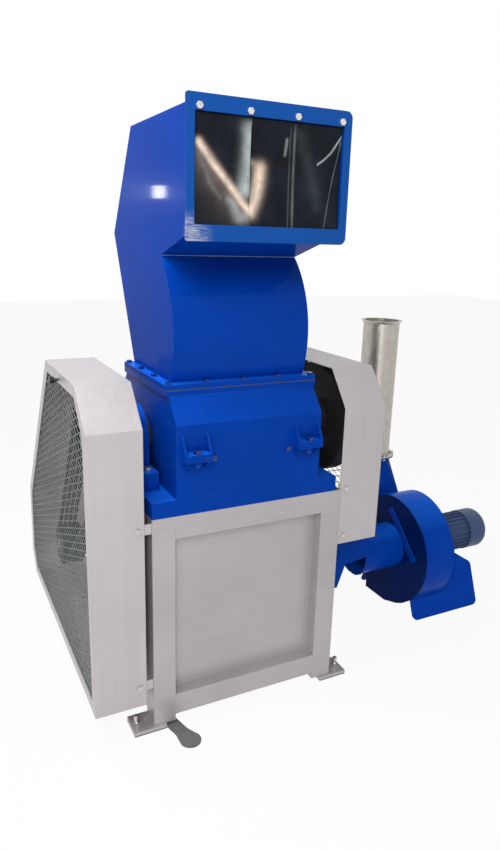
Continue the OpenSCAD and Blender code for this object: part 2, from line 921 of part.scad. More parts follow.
// Diamond mesh inside the border: crossed strands clipped to the outline
module guard_mesh() {
    x0 = guard_out_x + guard_t;
    line = inset(belt_guard_line, mesh_border - mesh_lap);
    color("darkslategray") along_x(x0, x0 + mesh_t) intersection() {
        polygon(line);
        union() {
            difference() {
                polygon(line);
                polygon(inset(line, mesh_frame_w));
            }
            for (s = [-1, 1], k = [-mesh_strands : mesh_strands])
                translate(mesh_centre) rotate([0, 0, s * mesh_turn])
                    translate([-mesh_reach / 2, k * mesh_pitch - strand_w / 2])
                        square([mesh_reach, strand_w]);
        }
    }
}

module guard_knob() {
    p = knob_place();
    color("black") {
        bar_x(guard_out_x - knob_stem_l, guard_out_x + guard_t, m10_r - seat, p[0], p[1]);
        translate([guard_out_x - knob_stem_l, p[0], p[1]]) rotate([0, -90, 0])
            cylinder(h = knob_stem_l, r1 = 2 * m10_r, r2 = 2.6 * m10_r);
    }
}

module guard_brackets() {
    y0 = front_y + guard_t + seat;
    color("silver") {
        for (z = bracket_z) difference() {
            block([guard_screw_x() - bracket_tip, y0, z - bracket_w / 2],
                [left_x, y0 + bracket_t, z + bracket_w / 2]);
            bar_y(y0 - cut, y0 + bracket_t + cut, m10_r + bolt_clear, guard_screw_x(), z);
        }
        for (z = fly_bracket_z) difference() {
            block([right_x, fly_front + guard_t + seat, z - bracket_w / 2],
                [fly_screw_x() + bracket_tip, fly_front + guard_t + seat + bracket_t, z + bracket_w / 2]);
            bar_y(fly_front, fly_front + guard_t + bracket_t + 2 * cut,
                m10_r + bolt_clear, fly_screw_x(), z);
        }
    }
}

function fly_screw_x() = fly_guard_x0 + bracket_in;

module guard_screws() {
    shank = guard_t + bracket_t + screw_tip;
    color("gainsboro") {
        for (z = bracket_z) {
            bar_y(front_y, front_y + shank, m10_r, guard_screw_x(), z);
            hex_y(guard_screw_x(), front_y, z, m10_head_h, m10_head_r, -1);
        }
        for (z = fly_bracket_z) {
            bar_y(fly_front, fly_front + shank, m10_r, fly_screw_x(), z);
            hex_y(fly_screw_x(), fly_front, z, m10_head_h, m10_head_r, -1);
        }
    }
}

module flywheel_guard() {
    t = guard_t;
    color("silver") difference() {
        along_x(fly_guard_x0, fly_guard_x1) polygon(fly_guard_line);
        along_x(fly_guard_x0 - cut, fly_guard_x1 - t) polygon(inset(fly_guard_line, t));
        for (z = fly_bracket_z)
            bar_y(fly_front - cut, fly_front + t + cut, m10_r + bolt_clear, fly_screw_x(), z);
    }
}

// Main motor on its bed

module motor_bed() {
    color("royalblue") {
        for (s = [-1, 1]) {
            x = motor_foot_x(s);
            translate([x, back_y, floor_gap + tube_w / 2]) rotate([-90, 0, 0])
                linear_extrude(bed_end - back_y) rail_profile();
            block([x - tube_w / 2, bed_end - tube_w, 0], [x + tube_w / 2, bed_end, floor_gap]);
        }
        along_x(motor_foot_x(-1) + tube_w / 2, motor_foot_x(1) - tube_w / 2)
            translate([bed_end - tube_w / 2, floor_gap + tube_w / 2]) rail_profile();
        for (s = [-1, 1]) {
            x = motor_foot_x(s);
            difference() {
                block([x - motor_rail_w / 2, motor_y - motor_foot_pitch * 0.72, floor_gap + tube_w],
                    [x + motor_rail_w / 2, motor_y + motor_foot_pitch * 0.72, motor_z - motor_foot_h]);
                for (t = [-1, 1])
                    translate([x, motor_y + t * motor_foot_pitch / 2, floor_gap + tube_w + cut])
                        cylinder(h = motor_z, r = rail_bolt_r + bolt_clear);
            }
        }
    }
}

function motor_foot_x(s) = (motor_x0 + motor_x1) / 2 - motor_foot_set + s * motor_foot_pitch / 2;

// Round body with lengthwise fins, from x0 to x1
module finned_body(x0, x1, r, h, t, count, y, z) {
    along_x(x0, x1) translate([y, z]) {
        circle(r = r - h);
        for (i = [0 : count - 1])
            rotate([0, 0, (i + 0.5) * 360 / count]) square_to([0, -t / 2], [r - h / 8, t / 2]);
    }
}

module motor_body() {
    foot_z = motor_z - motor_foot_h;
    color("steelblue") {
        difference() {
            union() {
                finned_body(motor_x0 + motor_bell_l, motor_x1, motor_r, fin_h, fin_t, fin_count,
                    motor_y, motor_z);
                bar_x(motor_x0, motor_x0 + motor_bell_l, motor_r - fin_h / 2, motor_y, motor_z);
                for (s = [-1, 1], t = [-1, 1])
                    block([motor_foot_x(s) - motor_foot_w / 2,
                        motor_y + t * motor_foot_pitch / 2 - motor_foot_w / 2, foot_z],
                        [motor_foot_x(s) + motor_foot_w / 2,
                        motor_y + t * motor_foot_pitch / 2 + motor_foot_w / 2,
                        foot_z + motor_foot_t]);
                for (s = [-1, 1])
                    block([motor_foot_x(s) - motor_foot_w / 4, motor_y - motor_foot_pitch / 2,
                        foot_z], [motor_foot_x(s) + motor_foot_w / 4,
                        motor_y + motor_foot_pitch / 2, foot_z + motor_r / 2]);
            }
            for (s = [-1, 1], t = [-1, 1])
                translate([motor_foot_x(s), motor_y + t * motor_foot_pitch / 2, foot_z - cut])
                    cylinder(h = motor_foot_t + 2 * cut, r = rail_bolt_r + bolt_clear);
            bar_x(motor_x0 - cut, motor_x0 + motor_bell_l, motor_shaft_r + run, motor_y, motor_z);
        }
        for (s = [-1, 1], t = [-1, 1]) {
            y = motor_y + t * motor_foot_pitch / 2;
            translate([motor_foot_x(s), y, foot_z - motor_rail_h / 2])
                cylinder(h = motor_rail_h / 2 + motor_foot_t, r = rail_bolt_r);
            hex_z(motor_foot_x(s), y, foot_z + motor_foot_t, rail_bolt_r, 1.7 * rail_bolt_r);
        }
    }
}

// Fan cowl with a rounded back, from x0 towards +X
module cowl(x0, l, r, round_r, y, z) {
    translate([x0, y, z]) rotate([0, 90, 0]) rotate_extrude() difference() {
        union() {
            square([r, l - round_r]);
            square([r - round_r, l]);
            translate([r - round_r, l - round_r]) circle(r = round_r);
        }
        square_to([-r, 0], [0, l]);
    }
}

module motor_cowl() {
    color("steelblue")
        cowl(motor_x1, motor_cowl_l, motor_r + motor_cowl_lip, motor_r / 5, motor_y, motor_z);
}

module motor_terminal_box() {
    x = (motor_x0 + motor_x1) / 2;
    z = motor_z + motor_r - fin_h;
    w = box_hw;
    lid = box_hw + box_lid_lip;
    color("steelblue") difference() {
        union() {
            block([x - w, motor_y - w, z - fin_h], [x + w, motor_y + w, z + box_h]);
            block([x - lid, motor_y - lid, z + box_h], [x + lid, motor_y + lid, z + box_h + box_lid_t]);
        }
        bar_x(motor_x0, motor_x1, motor_r - fin_h / 8 + seat, motor_y, motor_z);
    }
}

// Belts and pulleys

// Distance between the two shafts
function centre_l() = norm([motor_y, axis_z - motor_z]);

// Belt outline round both pulleys, for one distance from the pulleys' rims
module belt_loop(dr) {
    a = pulley_r + dr - belt_ease;
    b = motor_pulley_r + dr - belt_ease;
    l = centre_l();
    tilt = atan2(motor_z - axis_z, motor_y);
    k = acos((a - b) / l);
    translate([0, axis_z]) circle(r = a + belt_ease, $fn = 96);
    translate([motor_y, motor_z]) circle(r = b + belt_ease);
    translate([0, axis_z]) rotate([0, 0, tilt])
        polygon([[0, 0], [a * cos(k), -a * sin(k)], [l + b * cos(k), -b * sin(k)], [l, 0],
            [l + b * cos(k), b * sin(k)], [a * cos(k), a * sin(k)]]);
}

function groove_x(i) = pulley_x0 + pulley_w / 2 + (i - (belt_count - 1) / 2) * groove_pitch;

module v_belts() {
    for (i = [0 : belt_count - 1]) color("black")
        along_x(groove_x(i) - belt_w / 2, groove_x(i) + belt_w / 2) difference() {
            belt_loop(belt_lift);
            belt_loop(belt_lift - belt_h);
        }
}

// Grooved rim profile in radius and width, turned about the shaft
module grooved_wheel(x0, r, y, z, rim, web, hub, bore) {
    translate([x0, y, z]) rotate([0, 90, 0]) rotate_extrude($fn = 96) difference() {
        union() {
            square_to([r - rim, 0], [r, pulley_w]);
            square_to([bore, (pulley_w - web) / 2], [r - rim + cut, (pulley_w + web) / 2]);
            square_to([bore, 0], [hub, pulley_w]);
        }
        for (i = [0 : belt_count - 1])
            translate([r, pulley_w / 2 + (i - (belt_count - 1) / 2) * groove_pitch])
                polygon([[cut, -groove_w / 2], [cut, groove_w / 2],
                    [-groove_depth, groove_w / 2 - groove_flare],
                    [-groove_depth, groove_flare - groove_w / 2]]);
    }
}

module driven_pulley() {
    lighten_r = (pulley_r - pulley_rim - hub_r) * 0.36;
    lighten_c = (pulley_r - pulley_rim + hub_r) / 2;
    color("midnightblue") difference() {
        grooved_wheel(pulley_x0, pulley_r, 0, axis_z, pulley_rim, pulley_web, hub_r, shaft_step_r);
        for (i = [0 : 4])
            translate([0, 0, axis_z]) rotate([72 * i, 0, 0]) translate([0, 0, -axis_z])
                bar_x(pulley_x0 - cut, pulley_x1 + cut, lighten_r, 0, axis_z + lighten_c);
    }
}

module motor_pulley() {
    color("midnightblue")
        grooved_wheel(pulley_x0, motor_pulley_r, motor_y, motor_z, motor_pulley_r / 3,
            pulley_w, motor_pulley_r / 2, motor_shaft_r);
}

module motor_shaft() {
    color("silver")
        bar_x(pulley_x0 - shaft_end / 2, motor_x0 + motor_bell_l - cut, motor_shaft_r, motor_y, motor_z);
}

module flywheel() {
    color("black") translate([flywheel_x0, 0, axis_z]) rotate([0, 90, 0])
        rotate_extrude($fn = 96) {
            square_to([flywheel_r - flywheel_rim, 0], [flywheel_r, flywheel_w]);
            square_to([hub_r - cut, (flywheel_w - flywheel_web) / 2],
                [flywheel_r - flywheel_rim + cut, (flywheel_w + flywheel_web) / 2]);
            square_to([shaft_step_r, 0], [hub_r, flywheel_w]);
        }
}

// Rotor

module rotor_shaft() {
    b = bearing_places();
    color("silver") {
        bar_x(b[0] - cut, b[1] + bearing_w + cut, shaft_r);
        bar_x(shaft_x0, b[0] - cut, shaft_step_r);
        bar_x(b[1] + bearing_w + cut, shaft_x1, shaft_step_r);
    }
}

module shaft_collars() {
    color("midnightblue") for (x = [chamber_x0 - (bearing_gap + collar_w) / 2,
        chamber_x1 + (bearing_gap - collar_w) / 2]) difference() {
        bar_x(x, x + collar_w, collar_r);
        bar_x(x - cut, x + collar_w + cut, shaft_r);
    }
}

// Knife outline with its edge on the swept circle, for the row at angle zero
module knife_outline() {
    translate([cut_r, 0]) rotate([0, 0, 180 + knife_tilt])
        polygon([[0, 0], [knife_w, 0], [knife_w, knife_t], [knife_t, knife_t]]);
}

module disc_outline() {
    gullet_r = cut_r * 0.42;
    difference() {
        circle(r = disc_r);
        for (i = [0 : knife_rows - 1]) rotate([0, 0, i * 360 / knife_rows]) {
            rotate([0, 0, 30]) translate([cut_r * 0.98, 0]) circle(r = gullet_r);
            offset_knife();
        }
        circle(r = shaft_r);
    }
}

// Pocket of the disc that takes the knife, open to the outside
module offset_knife() {
    translate([cut_r, 0]) rotate([0, 0, 180 + knife_tilt])
        polygon([[-knife_t, -knife_t * 2], [knife_w, -knife_t * 2], [knife_w, knife_t],
            [-knife_t, knife_t]]);
}

function disc_x(i) = rotor_x0 + i * (rotor_x1 - rotor_x0 - disc_t) / (disc_count - 1);

module rotor_discs() {
    color("slategray") {
        for (i = [0 : disc_count - 1])
            along_x(disc_x(i), disc_x(i) + disc_t) translate([0, axis_z]) disc_outline();
        for (i = [0 : disc_count - 2])
            along_x(disc_x(i) + disc_t, disc_x(i + 1)) translate([0, axis_z]) difference() {
                circle(r = hub_r);
                circle(r = shaft_r);
            }
    }
}

module rotor_knives() {
    for (i = [0 : knife_rows - 1]) color("gainsboro") difference() {
        along_x(rotor_x0, rotor_x1) translate([0, axis_z])
            rotate([0, 0, i * 360 / knife_rows]) knife_outline();
        for (x = knife_screw_places())
            at_knife(x, i) translate([0, 0, -cut]) cylinder(h = knife_t + 2 * cut, r = m10_r + bolt_clear);
    }
}

function knife_screw_places() = [for (i = [0 : disc_count - 1]) disc_x(i) + disc_t / 2];

// Moves to a screw's place on a knife's outer face, its axis square to the knife
module at_knife(x, i) {
    translate([x, 0, axis_z]) rotate([i * 360 / knife_rows, 0, 0]) translate([0, cut_r, 0])
        rotate([180 + knife_tilt, 0, 0]) translate([0, knife_w * 0.62, 0]) children();
}

module knife_screws() {
    for (i = [0 : knife_rows - 1], x = knife_screw_places()) color("gainsboro")
        at_knife(x, i) {
            cylinder(h = knife_t, r = m10_r);
            translate([0, 0, -m10_head_h]) cylinder(h = m10_head_h, r = m10_head_r, $fn = 6);
        }
}

// Ducts and blower

// Side outline of the suction duct in the X-Z plane, drawn in by d
function duct_line(d) = [[right_x, duct_z0 + d], [duct_step_x + d / 2, duct_z0 + d],
    [duct_rise_x + d / 2, duct_rise_z + d], [inlet_x0 - duct_plate_t, duct_neck_z + d],
    [inlet_x0 - duct_plate_t, duct_z1 - d], [right_x, duct_z1 - d]];

// Extrudes an outline of the X-Z plane from y0 to y1
module along_y(y0, y1) {
    translate([0, y1, 0]) rotate([90, 0, 0]) linear_extrude(y1 - y0) children();
}

module suction_duct() {
    y0 = blower_y - duct_hw;
    y1 = blower_y + duct_hw;
    t = duct_t;
    x1 = inlet_x0 - duct_plate_t;
    color("royalblue") {
        difference() {
            along_y(y0, y1) polygon(duct_line(0));
            along_y(y0 + t, y1 - t) union() {
                polygon(duct_line(t));
                square_to([right_x - cut, duct_z0 + t], [right_x + cut, duct_z1 - t]);
                square_to([x1 - cut, duct_neck_z + t], [x1 + cut, duct_z1 - t]);
            }
        }
        difference() {
            block([x1, y0, blower_z - inlet_r], [inlet_x0, y1, duct_z1]);
            bar_x(x1 - cut, inlet_x0 + cut, inlet_r - t, blower_y, blower_z);
        }
    }
}

module inlet_pipe() {
    color("royalblue") difference() {
        bar_x(inlet_x0, blower_x, inlet_r, blower_y, blower_z);
        bar_x(inlet_x0 - cut, blower_x + cut, inlet_r - duct_t, blower_y, blower_z);
    }
}

// Quarter disc of the casing, by its centre, radius and turn
module quarter(c, r, turn) {
    translate(c) rotate([0, 0, turn]) intersection() {
        circle(r = r, $fn = 96);
        square([r + cut, r + cut]);
    }
}

// Casing outline: quarters whose centres step round a small square, and the outlet
module scroll_outline(d) {
    e = scroll_step;
    c = scroll_c;
    quarter([c[0], c[1] + e], scroll_r - d, 0);
    quarter(c, scroll_r + e - d, 90);
    quarter([c[0] + e, c[1]], scroll_r + 2 * e - d, 180);
    quarter([c[0] + e, c[1] + e], scroll_r + 3 * e - d, 270);
    square_to([c[0], c[1]], [c[0] + e, c[1] + e]);
    square_to([scroll_rear - scroll_out_w + d, c[1] + e], [scroll_rear - d, outlet_z + (d > 0 ? cut : 0)]);
    square_to([c[0], c[1]], [scroll_rear - scroll_out_w + 2 * d, c[1] + 2 * e]);
}

module blower_casing() {
    color("royalblue") difference() {
        along_x(casing_x0, casing_x1) scroll_outline(0);
        along_x(casing_x0 - cut, casing_x1 - duct_t) scroll_outline(duct_t);
        bar_x(casing_x1 - duct_t - cut, casing_x1 + cut, fan_shaft_r + fan_hole_gap, blower_y, blower_z);
    }
}

module blower_side_plate() {
    foot_y0 = blower_y - side_foot_y0;
    foot_y1 = blower_y + side_foot_y1;
    color("royalblue") {
        difference() {
            along_x(blower_x, casing_x0) {
                scroll_outline(0);
                polygon([[foot_y0, 0], [foot_y1, 0], [foot_y1, blower_z], [foot_y0 - side_flare, blower_z]]);
            }
            bar_x(blower_x - cut, casing_x0 + cut, inlet_r - duct_t, blower_y, blower_z);
        }
        along_x(blower_x - brace_t, blower_x)
            translate([blower_y, blower_z]) rotate([0, 0, brace_turn])
                translate([-brace_l / 2, inlet_r + brace_gap]) square([brace_l, brace_w]);
    }
}

// Pedestal outline in the Y-Z plane, with rounded lower corners left square at the floor
function pedestal_line(d) = [[blower_y - ped_foot + d, 0], [blower_y + ped_foot - d, 0],
    [blower_y + ped_top - d, ped_z - d], [blower_y - ped_top + d, ped_z - d]];

module blower_pedestal() {
    t = 2 * duct_t;
    color("royalblue") difference() {
        along_x(casing_x0, ped_x1) polygon(pedestal_line(0));
        along_x(casing_x0 - cut, ped_x1 - t) translate([0, -cut]) polygon(pedestal_line(t));
        along_x(casing_x0 - cut, casing_x1 + seat) {
            scroll_outline(-seat);
            square_to([blower_y - ped_top / 2, ped_z / 2], [blower_y + ped_top / 2, ped_z + cut]);
        }
    }
}

module blower_motor() {
    x1 = fan_motor_x0 + fan_body_l;
    foot_w = fan_body_r * 0.9;
    bell_l = fan_body_l * 0.15;
    color("steelblue") difference() {
        union() {
            finned_body(fan_motor_x0 + bell_l, x1, fan_body_r + fan_fin_h, fan_fin_h, fan_fin_t, fan_fin_count,
                blower_y, blower_z);
            bar_x(fan_motor_x0, fan_motor_x0 + bell_l, fan_body_r, blower_y, blower_z);
            bar_x(casing_x1, fan_motor_x0, fan_body_r * 0.8, blower_y, blower_z);
            block([fan_motor_x0 + bell_l, blower_y - foot_w, ped_z],
                [x1 - 2 * bell_l, blower_y + foot_w, blower_z - fan_body_r * 0.7]);
        }
        bar_x(casing_x1 - cut, fan_motor_x0 + bell_l, fan_shaft_r + run, blower_y, blower_z);
    }
}

module blower_cowl() {
    color("lightsteelblue") cowl(fan_motor_x0 + fan_body_l, fan_cowl_l,
        fan_body_r + fan_fin_h + fan_cowl_lip, fan_body_r * 0.4, blower_y, blower_z);
}

module blower_impeller() {
    x0 = casing_x0 + impeller_in;
    disc = blade_t;
    hub_w = impeller_hub_l;
    color("slategray") {
        bar_x(x0 + impeller_w - disc, x0 + impeller_w, impeller_r, blower_y, blower_z);
        bar_x(x0 + impeller_w - hub_w, x0 + impeller_w - disc, 3 * fan_shaft_r, blower_y, blower_z);
        bar_x(x0 + impeller_w, fan_motor_x0 + fan_body_l * 0.1, fan_shaft_r, blower_y, blower_z);
        for (i = [0 : blade_count - 1])
            along_x(x0, x0 + impeller_w - disc) translate([blower_y, blower_z])
                rotate([0, 0, i * 360 / blade_count])
                    square_to([3 * fan_shaft_r - cut, -disc / 2], [impeller_r, disc / 2]);
    }
}

// Transition from the casing's square outlet to the round pipe
module hood_body(d) {
    y0 = scroll_rear - scroll_out_w;
    hull() {
        block([casing_x0 + d, y0 + d, outlet_z - (d > 0 ? cut : 0)],
            [casing_x1 - d, scroll_rear - d, outlet_z + cut]);
        translate([pipe_cx, pipe_cy, hood_top - hood_collar_h])
            cylinder(h = cut, r = pipe_r - d, $fn = 32);
    }
}

module discharge_hood() {
    color("royalblue") {
        difference() {
            union() {
                hood_body(0);
                translate([pipe_cx, pipe_cy, hood_top - hood_collar_h])
                    cylinder(h = hood_collar_h, r = pipe_r);
            }
            hood_body(duct_t);
            translate([pipe_cx, pipe_cy, hood_top - hood_collar_h])
                cylinder(h = hood_collar_h + cut, r = pipe_r - duct_t);
        }
        pipe_flange(hood_top - hood_flange_t, hood_top, pipe_r);
    }
}

// Round flange with bolt holes, its bore at radius r
module pipe_flange(z0, z1, r) {
    difference() {
        translate([pipe_cx, pipe_cy, z0]) cylinder(h = z1 - z0, r = pipe_r + hood_flange_w);
        translate([pipe_cx, pipe_cy, z0 - cut]) cylinder(h = z1 - z0 + 2 * cut, r = r);
        for (a = pipe_bolt_turns())
            translate([pipe_bolt(a)[0], pipe_bolt(a)[1], z0 - cut])
                cylinder(h = z1 - z0 + 2 * cut, r = m10_r + bolt_clear);
    }
}

function pipe_bolt_turns() = [for (i = [0 : 5]) 30 + 60 * i];
function pipe_bolt(a) = [pipe_cx + (pipe_r + hood_flange_w / 2) * cos(a),
    pipe_cy + (pipe_r + hood_flange_w / 2) * sin(a)];

module discharge_pipe() {
    color("gainsboro") {
        difference() {
            union() {
                translate([pipe_cx, pipe_cy, hood_top]) cylinder(h = pipe_top - hood_top, r = pipe_r);
                translate([pipe_cx, pipe_cy, pipe_top - pipe_rim_h])
                    cylinder(h = pipe_rim_h, r1 = pipe_r, r2 = pipe_rim_r);
            }
            translate([pipe_cx, pipe_cy, hood_top - cut])
                cylinder(h = pipe_top - hood_top + 2 * cut, r = pipe_r - duct_t);
        }
        pipe_flange(hood_top, hood_top + hood_flange_t, pipe_r);
    }
}

module discharge_bolts() {
    color("gainsboro") for (a = pipe_bolt_turns()) {
        translate([pipe_bolt(a)[0], pipe_bolt(a)[1], hood_top - hood_flange_t])
            cylinder(h = 2 * hood_flange_t, r = m10_r);
        hex_z(pipe_bolt(a)[0], pipe_bolt(a)[1], hood_top + hood_flange_t, m10_head_h, m10_head_r);
        hex_z(pipe_bolt(a)[0], pipe_bolt(a)[1], hood_top - hood_flange_t - m10_head_h,
            m10_head_h, m10_head_r);
    }
}

// Upper half of the cutting chamber

function upper_line(d) = [[front_y + d, axis_z + parting], [back_y - d, axis_z + parting],
    [back_y - d, axis_z + knee_h], [back_y - slope_in - d, chamber_top],
    [front_y + slope_in + d, chamber_top], [front_y + d, axis_z + knee_h]];

module upper_chamber() {
    z_lug = axis_z + parting;
    color("royalblue") {
        difference() {
            union() {
                along_x(chamber_x0, chamber_x1) polygon(upper_line(0));
                block([flange_x0, flange_front, chamber_top],
                    [flange_x1, -flange_front, chamber_top + flange_t]);
            }
            along_x(inner_x0, inner_x1) {
                polygon(upper_line(wall_t));
                square_to([front_y + wall_t, axis_z], [back_y - wall_t, axis_z + cut]);
            }
            block([inner_x0, belly_foot[0], chamber_top - cut],
                [inner_x1, throat_back, chamber_top + flange_t + cut]);
            bar_x(chamber_x0 - cut, chamber_x1 + cut, wall_bore_r);
            for (p = flange_bolt_places())
                translate([p[0], p[1], chamber_top])
                    cylinder(h = flange_t + cut, r = m10_r + bolt_clear);
        }
        for (x = clamp_places())
            upper_lug(x, z_lug);
        for (s = [-1, 1])
            upper_knuckle(chamber_cx + s * hinge_x);
    }
}

module upper_lug(x, z0) {
    difference() {
        block([x - clamp_w / 2, front_y - clamp_out, z0],
            [x + clamp_w / 2, front_y, z0 + clamp_plate_t]);
        translate([x, clamp_bolt_y, z0 - cut])
            cylinder(h = clamp_plate_t + 2 * cut, r = clamp_hole_r);
    }
    for (s = [-1, 1])
        clamp_rib(x + s * (clamp_w - clamp_rib_t) / 2, z0 + clamp_plate_t, upper_rib_h);
}

module upper_knuckle(x) {
    x0 = x - knuckle_w / 2;
    x1 = x + knuckle_w / 2;
    difference() {
        union() {
            bar_x(x0, x1, knuckle_r, hinge_y, axis_z);
            block([x0, back_y, axis_z + parting], [x1, hinge_y, axis_z + knuckle_r]);
        }
        bar_x(x0 - cut, x1 + cut, hinge_pin_r + run, hinge_y, axis_z);
    }
}

// Bolt places round the flange: the front, both sides and the rear corners, because the
// hopper's rear wall leans out over the rear edge
function flange_bolt_places() = let (
    x0 = flange_x0 + flange_bolt_in, x1 = flange_x1 - flange_bolt_in,
    y0 = flange_front + flange_bolt_in)
    concat([for (k = [0 : 4]) [x0 + (x1 - x0) * k / 4, y0]],
        [for (x = [x0, x1], k = [-1, -1 / 3, 1 / 3]) [x, k * y0]]);

module flange_plate(z0, t) {
    difference() {
        block([flange_x0, flange_front, z0], [flange_x1, -flange_front, z0 + t]);
        block([inner_x0, belly_foot[0] + hopper_t, z0 - cut],
            [inner_x1, throat_back - hopper_t, z0 + t + cut]);
        for (p = flange_bolt_places())
            translate([p[0], p[1], z0 - cut]) cylinder(h = t + 2 * cut, r = m10_r + bolt_clear);
    }
}

module hopper_gasket() {
    color("black") flange_plate(chamber_top + flange_t, gasket_t);
}

// Hopper

// Centre of the belly's arc, from its two ends and its radius
function belly_centre() = let (m = (belly_foot + belly_head) / 2, c = belly_head - belly_foot,
    h = sqrt(belly_r * belly_r - c * c / 4)) m + unit([c[1], -c[0]]) * h;

// Straight-sided part of the hopper's side outline
hopper_line = [belly_foot, [throat_back, hopper_base], bulge_back, [crown_back, hopper_top],
    [mouth_back, hopper_top], [mouth_back, mouth_floor_z], belly_head];

module hopper_outline(d) {
    polygon(d == 0 ? hopper_line : inset(hopper_line, d));
    intersection() {
        translate(belly_centre()) circle(r = belly_r - d, $fn = 128);
        translate([belly_foot[0] - belly_r / 2, hopper_base - d])
            square([belly_r, belly_head[1] - hopper_base + d]);
        polygon([belly_foot + [belly_r / 2, 0], belly_head + [belly_r / 2, 0],
            belly_head - [belly_r / 2, 0], belly_foot - [belly_r / 2, 0]]);
    }
}

module hopper_shell() {
    t = hopper_t;
    color("royalblue") {
        difference() {
            along_x(hopper_x0, hopper_x1) hopper_outline(0);
            along_x(hopper_x0 + t, hopper_x1 - t) {
                hopper_outline(t);
                square_to([belly_foot[0] + t, hopper_base - cut], [throat_back - t, hopper_base + 2 * t]);
                square_to([mouth_back - cut, mouth_floor_z + t], [mouth_back + mouth_sill, hopper_top - t]);
            }
        }
        flange_plate(hopper_base - flange_t, flange_t);
        mouth_flange();
    }
}

module mouth_flange() {
    difference() {
        block([flange_x0 + flange_lip, -mouth_y, mouth_z0],
            [flange_x1 - flange_lip, mouth_back, mouth_z1]);
        block([hopper_x0 + hopper_t, -mouth_y - cut, opening_z0],
            [hopper_x1 - hopper_t, mouth_back + cut, opening_z1]);
        for (x = mouth_bolt_places())
            bar_y(-mouth_y - cut, mouth_back + cut, m10_r + bolt_clear, x, mouth_bolt_z());
    }
}

function mouth_bolt_places() = [for (k = [-1.5 : 1 : 1.5]) chamber_cx + k * mouth_bolt_pitch];
function mouth_bolt_z() = (opening_z1 + hopper_top - hopper_t) / 2;

module hopper_bolts() {
    color("gainsboro") {
        for (p = flange_bolt_places()) {
            translate([p[0], p[1], chamber_top]) cylinder(h = hopper_base - chamber_top, r = m10_r);
            hex_z(p[0], p[1], hopper_base, m10_head_h, m10_head_r);
        }
        for (x = mouth_bolt_places()) {
            bar_y(-mouth_y, mouth_back + strip_t + 2 * seat + bar_t, m10_r, x, mouth_bolt_z());
            hex_y(x, -mouth_y, mouth_bolt_z(), m10_head_h, m10_head_r, -1);
        }
    }
}

// Clamp bar behind the mouth, with the curtain's clamped edge in front of it
module curtain_bar() {
    x0 = hopper_x0 + hopper_t + strip_gap;
    x1 = hopper_x1 - hopper_t - strip_gap;
    y = mouth_back + strip_t + 2 * seat;
    color("dimgray") difference() {
        union() {
            block([x0, y, opening_z1], [x1, y + bar_t, opening_z1 + bar_h]);
            block([x0, mouth_back, opening_z1], [x1, y, opening_z1 + bar_h]);
        }
        for (x = mouth_bolt_places())
            bar_y(mouth_back - cut, y + bar_t + cut, m10_r + bolt_clear, x, mouth_bolt_z());
    }
}

module curtain_strip(x0, x1) {
    y = mouth_back + seat;
    color("black") {
        block([x0, y, opening_z0 - strip_extra], [x1, y + strip_t, strip_axis_z]);
        bar_x(x0, x1, strip_t / 2, y + strip_t / 2, strip_axis_z);
    }
}

module curtain_left() {
    curtain_strip(hopper_x0 + hopper_t + strip_gap, seam_a - strip_gap / 2);
}

module curtain_centre() {
    curtain_strip(seam_a + strip_gap / 2, seam_b - strip_gap / 2);
}

module curtain_right() {
    curtain_strip(seam_b + strip_gap / 2, hopper_x1 - hopper_t - strip_gap);
}

// Clamp bolts

module clamp_bolt(x) {
    z1 = axis_z + parting + clamp_plate_t;
    z0 = axis_z - clamp_plate_t - clamp_nut_h - m10_r;
    color("royalblue") {
        translate([x, clamp_bolt_y, z0]) cylinder(h = z1 - z0, r = m16_r);
        hex_z(x, clamp_bolt_y, z1, m16_head_h, m16_head_r);
    }
}

module clamp_bolt_left() {
    clamp_bolt(clamp_places()[0]);
}

module clamp_bolt_right() {
    clamp_bolt(clamp_places()[1]);
}

stand_legs();
stand_rails();
front_panel();
side_panels();
foot_plates();
levelling_screws();
foot_pads();
base_plate();
lower_chamber();
bed_knives();
bed_knife_screws();
screen();
screen_cradle();
collecting_chute();
hinge_pins();
bearing_housings();
bearing_rings();
bearing_bolts();
belt_guard();
guard_mesh();
guard_knob();
guard_brackets();
guard_screws();
flywheel_guard();
motor_bed();
motor_body();
motor_cowl();
motor_terminal_box();
v_belts();
suction_duct();
inlet_pipe();
blower_casing();
blower_side_plate();
blower_pedestal();
blower_motor();
blower_cowl();
discharge_hood();
discharge_pipe();
discharge_bolts();
rotor_shaft();
rotor_discs();
rotor_knives();
knife_screws();
driven_pulley();
flywheel();
shaft_collars();
motor_pulley();
motor_shaft();
blower_impeller();
upper_chamber();
hopper_gasket();
hopper_shell();
hopper_bolts();
curtain_bar();
clamp_bolt_left();
clamp_bolt_right();
curtain_left();
curtain_centre();
curtain_right();
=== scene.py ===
"""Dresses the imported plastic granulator: its finishes, the expanded metal of both guards, the rubber
curtain, the plates with rounded corners, a weld bead, and the studio that it stands in."""

import math

import bmesh
import bpy
from mathutils import Matrix, Vector


